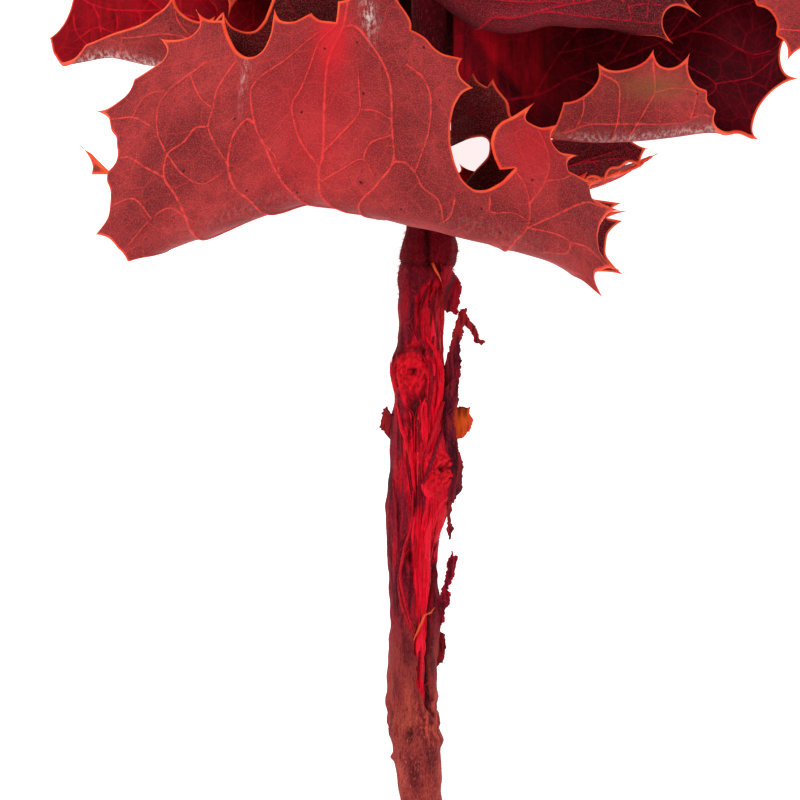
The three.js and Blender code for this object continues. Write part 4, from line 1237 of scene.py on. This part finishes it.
PLUM = colour(88, 12, 34)
RUST = colour(164, 34, 36)
BLOOD = colour(204, 8, 34)
torn_strip("bark_flap_top", 1, [
    (-4.2, -7), (-2, -6.9), (0, -7.4), (1.2, -11), (1.7, -14), (1.6, -16.4), (0.2, -15.3), (-1.1, -14.2),
    (-1.9, -12.9), (-3.3, -10)],
    2.4, 0, colour(142, 6, 30), colour(176, 14, 34), wrapped=True, grain_size=0.8)
torn_strip("bark_strip_forked", 1, [
    (0, -34), (0, -28.4), (0.7, -22), (1.7, -16.4), (2, -15.2), (3, -15), (3.6, -16.5), (5.2, -18.6),
    (6.4, -20.8), (7.1, -21.6), (6.6, -22.3), (5.3, -21.5), (4.2, -19.3), (3.2, -18.2), (2.9, -20.6),
    (2.5, -23.4), (2.5, -26), (2, -30), (1.4, -34)],
    -0.4, 0.04, PLUM, RUST, curl=0.02, redder_from=-24)
torn_strip("bark_strip_right", 1, [
    (0, -31), (1.2, -28.6), (1.9, -30.4), (2.3, -33), (1.5, -36), (1.7, -39), (2.2, -42.5), (3.1, -45.4),
    (3.2, -50), (2.3, -51.6), (1.6, -53), (1.5, -55.4), (2.3, -57.2), (1.7, -59.6), (0.9, -57.4),
    (0.7, -52), (0, -46), (0, -38)],
    2, 0, PLUM, RUST, curl=-0.16)
torn_strip("bark_flake", 1, [
    (0.3, -34.4), (2.2, -34.1), (4.4, -34), (5, -36.8), (4.6, -38.2), (3.7, -39.4), (1.7, -40.6),
    (0.3, -38.4)],
    -1.8, 0, colour(240, 92, 30), colour(206, 44, 28), curl=-0.05, grain_size=1.1)
torn_strip("bark_strip_splayed", 1, [
    (0, -78), (0, -72), (0.4, -69), (1.2, -64.6), (2.2, -61.3), (2.6, -62.4), (3.4, -62.6), (2.5, -66.4),
    (1.7, -69), (2.2, -71.2), (1.3, -72.6), (0.9, -75)],
    1, 0.08, PLUM, BLOOD, curl=0.05)
torn_strip("bark_sliver_low", 1, [
    (0, -77), (0.9, -77.6), (1.2, -80), (0.8, -82.6), (0.2, -84.4)], -0.8, 0, RUST, PLUM)
torn_strip("bark_sliver_left", -1, [
    (0.2, -41), (1.3, -38), (1.2, -35), (0.4, -33.8), (0.2, -36.6)], 0.6, 0, RUST, PLUM)

# ---- The folded leaves beside and above it --------------------------------------------------------------
# Each is folded like an open book: the wall at the back shows its dark upper side, and the flap turned up in
# front of it shows its dull underside. The one above the front leaf turns up in the same way as that does.


def fan_veins(foot, tips, width=0.36, bow=0.1):
    """Main veins that fan out from a leaf's foot to its teeth, and the loops that join them near the rim."""
    foot = np.array(foot, float)
    runs = []
    for i, tip in enumerate(tips):
        reach = np.array(tip, float) - foot
        sideways = np.array([-reach[1], reach[0]]) * bow * (1 if i < len(tips) / 2 else -1)
        runs.append([foot + reach * s + sideways * 4 * s * (1 - s) for s in (0, 0.2, 0.42, 0.66, 0.93)])
    veins = [(width * (1.1 if i == len(runs) // 2 else 0.85), run) for i, run in enumerate(runs)]
    for i, (first, second) in enumerate(zip(runs, runs[1:])):
        for share, place in ((0.42, 2), (0.66, 3)):
            start, end = first[place], second[place]
            crest = (start + end) / 2
            crest = crest + (crest - foot) * (0.16 + 0.05 * ((i * 7) % 3))
            rising = (start + crest) / 2 + (crest - foot) * 0.03
            if np.hypot(*(end - start)) > 6:
                veins.append((width * 0.62, [start, rising, crest, end]))
    return veins


right_fold = through([
    (4, 15), (14, 16.4), (24, 13.8), (32, 12.8), (40, 12.9), (48, 13.7), (55, 14.6), (60, 13.2), (63, 12.6),
    (72, 16)])


def parts_of(fold, flap_rise, wall_rise):
    """How to place points on a folded leaf's flap and on its wall, from where they look to be."""
    def on_flap(*points):
        return [(x, float(y - fold(x)) / flap_rise, *depth) for x, y, *depth in points]

    def on_wall(*points):
        return [(x, float(fold(x) - y) / wall_rise, *depth) for x, y, *depth in points]
    return on_flap, on_wall


on_right_flap, on_right_wall = parts_of(right_fold, 0.96, 0.97)


def right_stains(a, b):
    y = right_fold(a) + 0.96 * b
    olive = np.exp(-((a - 43) / 6.5) ** 2 - ((y - 26) / 2.4) ** 2)
    # Pale crackle painted as a highlight along the fold.
    crackle_and_highlight = 0.5 * np.exp(-((b - 2.2) / 1.6) ** 2) * smooth((a - 22) / 8)
    # A painted glow on the wall, where light would shine through the blade.
    rise = right_fold(a) - 0.97 * b
    painted_glow = np.where(b < 0, 0.8 * np.exp(-((a - 14) / 12) ** 2 - ((rise - 33) / 10) ** 2), 0)
    painted_glow = painted_glow * smooth(0.75 + 0.9 * rough(np.column_stack([a - 0.5 * b, b + a]) / (1, 3), 3, 4))
    return np.column_stack([crackle_and_highlight, np.where(b > 0, olive, 0), painted_glow])


leaf(
    "leaf_right",
    [(5.4, -0.6), (14, -0.4, 0.05), (23, 0.4, 0.02)]
    + on_right_flap((26, 23.3, 0.16), (33, 29.4, 0.12), (42.4, 31.7, 0.3), (48.9, 31, 0.12),
                    (52.3, 25, 0.1), (54, 21.4, 0.1))
    + [(56.4, 0.6, 0.04)]
    + on_right_wall((59.4, 17.2, 0.1), (62.6, 16.2, 0.12), (64.4, 24, 0.12), (70.2, 28.7, 0.2),
                    (69.6, 38, 0.16), (72, 47, 0.18), (64, 54, 0.18), (53, 57, 0.18), (41, 57, 0.2),
                    (30, 55, 0.12), (16, 55, 0.06), (5.4, 51)),
    seated(folded(
        right_fold, through([(4, 5), (16, 7), (30, 10), (44, 12), (58, 11), (72, 6)]),
        soften=2.6, front=(0.96, 0.12), back=(0.97, -0.2),
        gap=through([(4, 3), (16, 8), (28, 15), (44, 16), (55, 12), (64, 6), (74, 2)])), at=14, foot=6.2),
    veins_on(
        on_right_wall,
        (0.5, (5.4, 19), (20.9, 25.5), (28.5, 29.3), (41.2, 34.2), (46, 36.1), (52.8, 39),
         (62.1, 43.3), (69, 46)),
        (0.36, (45.4, 35.6), (50.4, 31.2), (55.5, 27.7), (55, 26), (52.2, 24.7), (46, 22)),
        (0.34, (50.9, 38), (60.6, 34.2), (66.9, 34.6), (69, 38)),
        (0.3, (55.5, 27.6), (61.6, 28.7), (67.8, 33.6)),
        (0.34, (28.5, 29.3), (34, 27), (40, 21.5), (45, 18)),
        (0.3, (34, 27), (40, 28.6), (45.4, 34)),
        (0.34, (20.9, 25.5), (26, 34), (34, 44), (40, 55)),
        (0.34, (36, 32), (42, 41), (50, 49), (53, 55)),
        (0.3, (46, 36.1), (52, 44), (60, 50), (63, 52)),
        (0.28, (26, 34), (34, 36), (41.5, 40.5)))
    + veins_on(
        on_right_flap,
        (0.34, (42.6, 30.6), (42.9, 27.4), (42.9, 24.9), (41.4, 22), (39.9, 19.2), (38, 15.6)),
        (0.28, (42.9, 24.9), (46, 25.8), (49.8, 25.5), (52, 24.2)),
        (0.3, (33.2, 28.6), (36.2, 26.6), (36.5, 23.3), (36.1, 19.2), (35, 15.4)),
        (0.34, (26.5, 17.2), (30.5, 18.9), (34.6, 19), (40.3, 19), (47.9, 19.2), (51.7, 20.9),
         (53.6, 20.2)),
        (0.26, (49.6, 19.9), (50.1, 22), (50.7, 24.6)),
        (0.26, (28.6, 18.4), (29.8, 21.4), (29.8, 24.8))),
    maroon_skin, pattern=1, stains=right_stains)

left_fold = through([
    (-74, 28), (-70, 28.4), (-66, 29), (-60, 29.5), (-53, 27.8), (-45, 27), (-34, 25.2), (-20, 22.5),
    (-4, 20)])
on_left_flap, on_left_wall = parts_of(left_fold, 0.97, 0.97)


def left_stains(a, b):
    # Pale crackle painted as a highlight along the fold, and a painted glow on the wall where light would
    # shine through.
    crackle_and_highlight = 0.9 * np.exp(-((b - 1.4) / 1.7) ** 2) * smooth((a + 69) / 5) * smooth((-46 - a) / 5)
    painted_glow = np.where(b < 0, 0.45 * np.exp(-((a + 60) / 9) ** 2), 0)
    return np.column_stack([crackle_and_highlight, 0 * a, painted_glow])


leaf(
    "leaf_left",
    [(-70.4, 0, 0.06)]
    + on_left_flap((-65.4, 34.4, 0.08), (-51.8, 39.8, 0.1), (-48.3, 42.9, 0.28), (-41, 38.4, 0.1),
                   (-38.4, 31, 0.1), (-28, 28.6, 0.06), (-16, 25.6, 0.06))
    + [(-5.4, 0.6)]
    + on_left_wall((-5.4, 36, 0.1), (-16, 52, 0.18), (-27, 62, 0.18), (-39, 67, 0.18), (-51, 66, 0.18),
                   (-62, 60, 0.18), (-70, 51, 0.2), (-73, 36.6, 0.04), (-72.4, 33.6, 0.04)),
    seated(folded(
        left_fold, through([(-74, 2), (-64, 8), (-54, 12), (-42, 14), (-30, 12), (-16, 9), (-4, 5)]),
        soften=2.2, front=(0.97, 0.1), back=(0.97, -0.24),
        gap=through([(-74, 2), (-66, 6), (-56, 11), (-44, 15), (-30, 13), (-16, 8), (-4, 3)])),
        at=20, foot=6),
    veins_on(
        on_left_wall,
        (0.5, (-5.4, 26), (-22, 33), (-38, 38), (-51.3, 41.8), (-54.1, 41.6), (-60.4, 41.8),
         (-65.4, 43.3), (-70, 47)),
        (0.32, (-64.6, 42.8), (-63.5, 40.5), (-62.7, 36.1), (-61, 33)),
        (0.3, (-60.2, 41.8), (-59.8, 38.8), (-60.4, 35.5), (-59, 32)),
        (0.3, (-55.9, 41.6), (-55.4, 39.5), (-55.7, 37.4), (-54, 33)),
        (0.3, (-68.4, 41), (-68, 38), (-66.7, 36.1), (-64, 33.4)),
        (0.26, (-68, 36), (-64, 38.4), (-60.2, 37.4), (-55.6, 38.6), (-50, 36.6), (-44, 34)),
        (0.34, (-38, 38), (-44, 46), (-52, 54), (-58, 60)),
        (0.34, (-24, 34), (-30, 46), (-38, 58), (-40, 65)),
        (0.32, (-51.3, 41.8), (-58, 48), (-64, 55)),
        (0.3, (-44, 46), (-53, 46.6), (-58, 48)))
    + [(0.3, on_left_flap(*run)) for run in (
        ((-30, 27), (-36, 31), (-44, 34.5), (-50, 36), (-58, 35.4)), ((-36, 31), (-37, 35), (-38, 38)),
        ((-44, 34.5), (-47, 38), (-48, 41)))],
    crimson_skin, pattern=2, stains=left_stains)

upper_fold = through([
    (-8, 46), (0, 42.2), (2.3, 40.4), (7.5, 36.9), (14, 34.6), (18, 34.8), (23.6, 36), (30.2, 35.7),
    (36, 35.2), (41, 34.2), (46, 32), (54, 28)])
on_upper = parts_of(upper_fold, 0.96, 0.22)[0]
plum_skin = leaf_skin(
    "plum_leaf", colour(88, 0, 14), colour(48, 0, 8), colour(168, 8, 34),
    under=(colour(110, 10, 32), colour(72, 2, 20)), under_vein=colour(204, 16, 44))
leaf(
    "leaf_upper_right",
    on_upper((45.6, 34.2, 0.12))
    + [(37, -9, 0.12), (26, -17, 0.1), (13, -24.5, 0.06), (6, -25.5), (0, -23, 0.06), (-5, -10, 0.1)]
    + on_upper((-9, 50, 0.16), (-10, 62, 0.2), (-2, 70, 0.2), (9, 75, 0.2), (21, 76, 0.2), (33, 71, 0.2),
               (42, 62, 0.2), (46.5, 51, 0.18), (50.4, 40.7, 0.3)),
    seated(folded(
        upper_fold, through([(-10, 22), (0, 27), (12, 30), (24, 30), (36, 26), (46, 19), (54, 12)]),
        soften=2.6, front=(0.96, 0.24), back=(0.22, -0.96), curl=0.003), at=46, foot=5.4),
    [(0.5, [(4, -24), (8, -12)] + on_upper((12, 37.4), (17.9, 38.2), (25.7, 40.5), (35.3, 43.3), (44, 49))),
     (0.34, on_upper((2, 44), (6.3, 42.4), (14.1, 41.4), (20.9, 41.1), (25.7, 40.9))),
     (0.38, on_upper((21, 39), (28, 38.2), (36.3, 37.6), (43.1, 37.6), (46, 40.5))),
     (0.3, on_upper((33.6, 43), (36.4, 42), (37.8, 40.5), (38.3, 37.7))),
     (0.28, on_upper((39.6, 45.4), (41.4, 42.4), (41.2, 37.7))),
     (0.28, on_upper((37.8, 40.5), (41.4, 41.4), (45.8, 41)))]
    + [(0.34, on_upper(*run)) for run in (
        ((14.1, 41.4), (14, 52), (20, 66), (21, 74)), ((20.9, 41.1), (27, 54), (33, 69)),
        ((6.3, 42.4), (4, 54), (8, 72)), ((27.4, 41.4), (36, 52), (41, 60)), ((14, 52), (26, 54), (36, 52)),
        ((4, 54), (14, 52)))],
    plum_skin, pattern=3)

# ---- Three small leaves behind the front one ------------------------------------------------------------
# Two show their spiny rims through the front leaf's notches, and the third fills the space behind that leaf's
# right lobe. They are young and thin, and held flat. The two in the notches lie in shade, and their finish is
# darkened with painted shade.
leaf_in_left_notch = blade(
    "leaf_in_left_notch",
    [(*seen_at(26, x, y), *depth) for x, y, *depth in [
        (-5.3, 16), (-20, 22, 0.05), (-36, 27, 0.05), (-42, 32, 0.1), (-41, 38.6), (-38.9, 40.9, 0.05),
        (-37.2, 38), (-34.6, 37), (-32.6, 37.4), (-31, 39.5), (-29, 45, 0.05), (-26, 47), (-16, 50, 0.1),
        (-7, 44, 0.05), (-5.3, 34)]],
    upright(through([(-42, 28), (-34, 27), (-20, 20), (-5.4, 2)]), bow=0.004, middle=30),
    [(0.4, [(-5.6, 26), (-18, 31), (-30, 35), (-37, 38)]), (0.3, [(-18, 31), (-24, 38), (-28, 44)])],
    shaded_skin, cell=1.1, pattern=32, spine=1, ripple=0.3)
leaf_in_notch = blade(
    "leaf_in_notch",
    [(4.4, 15.4), (4.4, 24, 0.05), (6.2, 25.6), (8.6, 29.2, 0.05), (9.4, 27.3), (11.2, 26.4),
     (12.3, 28, 0.05), (13, 26), (14.2, 24.6), (15.4, 23.2, 0.1), (15.6, 20.5), (21, 18), (22, 10),
     (17, 6.4), (10, 5.4), (6.6, 7.8), (8.8, 10.6), (11.5, 13.3), (11.7, 16.2), (10.4, 17.1), (7.6, 16.7)],
    upright(through([(4, 9), (10, 15), (22, 19)]), bow=0.02, middle=18),
    [(0.26, [(5, 20), (9, 21.4), (14.4, 22.6)]), (0.2, [(8, 21), (10, 24), (12, 26.4)])],
    shaded_skin, cell=0.9, pattern=31, spine=0.6, ripple=0.2)
leaf_behind_lobe = blade(
    "leaf_behind_lobe",
    [(5.4, 0.4), (5.4, 5.6), (12, 6.2), (17, 12), (24, 17.4), (38.6, 17.6, 0.1), (41.4, 15.4, 0.16),
     (40.2, 13, 0.2), (36.6, 12.4, 0.2), (33.6, 9.8, 0.22), (30.4, 9.6, 0.1), (30, 6), (37.2, 5, 0.1),
     (34.6, 3.4), (39.2, 3.6, 0.06), (34.4, 2.2), (37.4, 1.6, 0.08), (34.4, -1), (34, -4.6, 0.06),
     (37.6, -8.7, 0.06), (30.6, -8.3), (20, -4.2), (10, -1)],
    upright(through([(5, 1.2), (20, 0.4), (42, -1)]), bow=0.004, middle=5),
    [(0.34, [(5.6, 3), (16, 6), (27, 12), (36, 15)]), (0.3, [(10, 4), (22, 2), (34, -4)]),
     (0.24, [(27, 12), (31, 13), (33.4, 11)]), (0.24, [(27, 12), (34, 13.4), (38, 13.6)])],
    plum_skin, cell=1.0, pattern=33, spine=1.5, ripple=0.3)
for small_leaf in (leaf_in_left_notch, leaf_in_notch, leaf_behind_lobe):
    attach(small_leaf, "root")

# ---- The two upright leaves -----------------------------------------------------------------------------
# They stand above the folded ones, one on each side of the stem, like open hands. Each grew from the stem by
# a narrow foot and has its underside to the front.
leaf(
    "leaf_far_right",
    [(5.8, 50), (5.8, 56.6, 0.06), (17, 61, 0.16), (31, 66, 0.2), (43, 71, 0.2), (56, 74, 0.2),
     (69, 72, 0.2), (80, 65, 0.2), (86, 54, 0.2), (84.4, 42, 0.18), (78, 33.6, 0.14), (70.4, 32.6, 0.12),
     (68.4, 36.4, 0.14), (64.5, 42.2, 0.1), (59, 46.4, 0.1), (48, 47, 0.1), (32, 46.6, 0.06), (16, 48)],
    seated(upright(
        through([(4, 8), (20, 10), (40, 12), (60, 15.5), (74, 17), (88, 13)]), bow=0.006, middle=50),
        at=53, foot=6.4),
    fan_veins(
        (5, 53), [(43, 69), (56, 72), (69, 70), (80, 62), (84, 50), (78, 37), (60, 48)],
        width=0.4, bow=0.06),
    maroon_skin, cell=1.3, pattern=4)
leaf(
    "leaf_upper_left",
    [(-5.4, 54, 0.06), (-16, 50, 0.1), (-26, 43.4, 0.16), (-30.4, 42, 0.3), (-39.6, 41, 0.2),
     (-45, 47.4, 0.2), (-54, 50, 0.2), (-56.6, 61, 0.2), (-51, 71, 0.2), (-41, 77, 0.2), (-29, 78, 0.2),
     (-18, 73, 0.14), (-5.4, 62)],
    seated(upright(
        through([(-60, 8), (-46, 14), (-34, 17), (-20, 15), (-4, 8)]), bow=0.008, middle=56),
        at=58, foot=6.4),
    fan_veins(
        (-5, 58), [(-29, 44), (-38, 43), (-52, 51), (-55, 61), (-50, 69), (-40, 75), (-28, 76)],
        width=0.38, bow=-0.06),
    crimson_skin, cell=1.3, pattern=5)

# ---- The cupped leaves behind and above -----------------------------------------------------------------
# The rest of the head: broad leaves cupped like spoons, that clasp the stem and lift their tips. The lowest
# lie at the back, where the surface that the plant lies on presses them flat, one of them on the others.
MIDLINE_STEPS = 60
CLASP = 2.4
PRESS_SOFTNESS = 2.4
LAYER_HEIGHT = 2.6
LOBE_SPREAD = 290


def spoon(at, facing, length, rise, lift, wrap):
    """A leaf like the bowl of a spoon. It leaves the stem at height `at`, facing `facing` degrees round from
    +Z towards +X, rises by `rise` degrees at its foot and `lift` at its tip, and bends round to `wrap`."""
    foot = float(stem_half_width(at)) + SEAT_GAP + DRAWN_THICKNESS
    angles = np.radians(rise + (lift - rise) * smooth(np.arange(MIDLINE_STEPS + 1) / MIDLINE_STEPS))
    step = length / MIDLINE_STEPS
    out = foot + step * np.concatenate([[0], np.cumsum(np.cos(angles[1:]))])
    up = step * np.concatenate([[0], np.cumsum(np.sin(angles[1:]))])
    turn = math.radians(facing)

    def surface(a, b):
        along = np.clip(b / length, -0.05, 1.25) * MIDLINE_STEPS
        i = np.clip(np.floor(along), 0, MIDLINE_STEPS - 1).astype(int)
        share = along - i
        r, y, angle = (line[i] + (line[i + 1] - line[i]) * share for line in (out, up, angles))
        radius = foot * CLASP + (wrap - foot * CLASP) * smooth(b / (0.4 * length))
        inward = radius * (1 - np.cos(a / radius))
        across = radius * np.sin(a / radius)
        reach = r - inward * np.sin(angle)
        return np.column_stack([
            reach * math.sin(turn) + across * math.cos(turn) + stem_drift(at),
            at + y + inward * np.cos(angle),
            reach * math.cos(turn) - across * math.sin(turn)])
    return surface


def pressed(surface, layer):
    """The same surface where it is pressed flat by what the plant lies on, or by the leaves in layer 0."""
    def flattened(a, b):
        p = surface(a, b)
        level = -end_drop - math.tan(LIE_ANGLE) * (p[:, 1] + STEM_LENGTH) + DRAWN_THICKNESS * 0.9
        level = level + layer * LAYER_HEIGHT
        p[:, 2] = level + PRESS_SOFTNESS * soft_plus((p[:, 2] - level) / PRESS_SOFTNESS)
        return p
    return flattened


def chance(seed):
    """Repeatable small variations, from 0 to 1."""
    state = seed * 7919.0
    while True:
        state = math.fmod(state * 1103515245.0 + 12345.0, 2147483648.0)
        yield state / 2147483648


def broad_teeth(width, length, count, seed):
    random = chance(seed)
    teeth = [(-FOOT_HALF_WIDTH, 0, 0.1)]
    for i in range(count):
        turn = math.radians(LOBE_SPREAD * ((i + 0.5) / count - 0.5))
        stretch = 0.95 + 0.1 * next(random)
        depth = 0.1 if i == count - 1 else 0.16 + 0.16 * next(random)
        teeth.append((
            width / 2 * math.sin(turn) * stretch, length * (0.48 + 0.52 * math.cos(turn) * stretch), depth))
    return teeth + [(FOOT_HALF_WIDTH, 0)]


# name, at, facing, length, width, rise, lift, wrap, teeth, and the layer that it is pressed into
cupped = [
    ("leaf_back_right", 6, 138, 46, 50, -2, 24, 70, 13, 0),
    ("leaf_back_left", 12, -138, 58, 60, 0, 28, 60, 13, 0),
    ("leaf_back_upper", 24, 176, 78, 88, 14, 54, 66, 17, 0),
    ("leaf_middle_back", 45, -164, 66, 70, 12, 56, 46, 13, 1),
    ("leaf_high_right", 62, 112, 64, 62, 16, 62, 38, 11, None),
    ("leaf_high_left", 66, -112, 60, 56, 20, 62, 36, 11, None),
    ("leaf_high_front", 73, 16, 52, 50, 30, 68, 32, 11, None),
    ("leaf_high_back", 79, 168, 50, 48, 36, 72, 29, 11, None),
    ("leaf_inner_left", 85, -60, 38, 34, 48, 80, 18, 9, None),
    ("leaf_inner_right", 89, 84, 30, 26, 54, 84, 15, 9, None),
]
for seed, (name, at, facing, length, width, rise, lift, wrap, count, layer) in enumerate(cupped, 1):
    teeth = broad_teeth(width, length, count, seed)
    bowl = spoon(at, facing, length, rise, lift, wrap)
    veins = fan_veins((0, 0.5), [(x * 0.97, y * 0.98) for x, y, *_ in teeth[1:-1]], width=0.38, bow=0.1)
    leaf(
        name, teeth, bowl if layer is None else pressed(bowl, layer), veins,
        crimson_skin if seed % 3 == 1 else maroon_skin, cell=1.5, pattern=5 + seed,
        ripple=0.3 if layer is None else 0.14)

# ---- The bud --------------------------------------------------------------------------------------------
# The stem ends in a closed bud above the highest leaves. Its small scales are young leaves, wrapped over each
# other in a spiral round a solid heart.
BUD_LENGTH = 11
BUD_RADIUS = 2.3
BUD_SCALES = 13
SPIRAL_STEP = 137.5             # degrees from each scale to the next
bud_foot = STEM_TOP + 0.2


def bud_scale(turn, start, length, radius):
    def surface(a, b):
        s = np.clip(b / length, 0, 1)
        r = radius * (0.78 + 0.5 * s) * (1 - s ** 2.4) + 0.25
        angle = turn + a / np.maximum(r, 0.9)
        return np.column_stack([r * np.sin(angle), start + b, r * np.cos(angle)])
    return surface


bpy.ops.object.select_all(action="DESELECT")
for i in range(BUD_SCALES):
    length = 9.6 - 0.3 * i
    width = 4.4 - 0.14 * i
    scale = blade(
        "bud_scales", [(-width / 2, 0, -0.05), (-width * 0.56, length * 0.4, -0.12), (0, length, -0.12),
                       (width * 0.56, length * 0.4, -0.05), (width / 2, 0)],
        bud_scale(math.radians(SPIRAL_STEP * i), bud_foot + 0.16 * i, length, BUD_RADIUS - 0.12 * i),
        [(0.2, [(0, 0.5), (0, length * 0.8)])], crimson_skin, cell=0.7, pattern=20 + i, spine=0,
        ripple=0.05, rim_from=-20)
    scale.select_set(True)
    bpy.context.view_layer.objects.active = scale
bpy.ops.mesh.primitive_uv_sphere_add(segments=24, ring_count=14, radius=1)
heart = bpy.context.object
bpy.ops.object.mode_set(mode="EDIT")
bpy.ops.transform.resize(value=(BUD_RADIUS * 0.62, BUD_RADIUS * 0.62, BUD_LENGTH * 0.43))
bpy.ops.object.mode_set(mode="OBJECT")
spots = np.array([(v.co.x, v.co.z + bud_foot + BUD_LENGTH * 0.42, -v.co.y) for v in heart.data.vertices])
heart.data.vertices.foreach_set("co", laid(spots).ravel())
heart.data.materials.append(maroon_skin)
for piece in [o for o in bpy.data.objects if o.name.startswith("bud_scales")]:
    piece.select_set(True)
bpy.context.view_layer.objects.active = scale
bpy.ops.object.join()
scale.name = "bud_scales"
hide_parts("end_bud")
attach(scale, "root")

# ---- The finished size ----------------------------------------------------------------------------------
# The box round the finished plant is kept, in metres, as it lies.
size = [list(corner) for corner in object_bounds()]
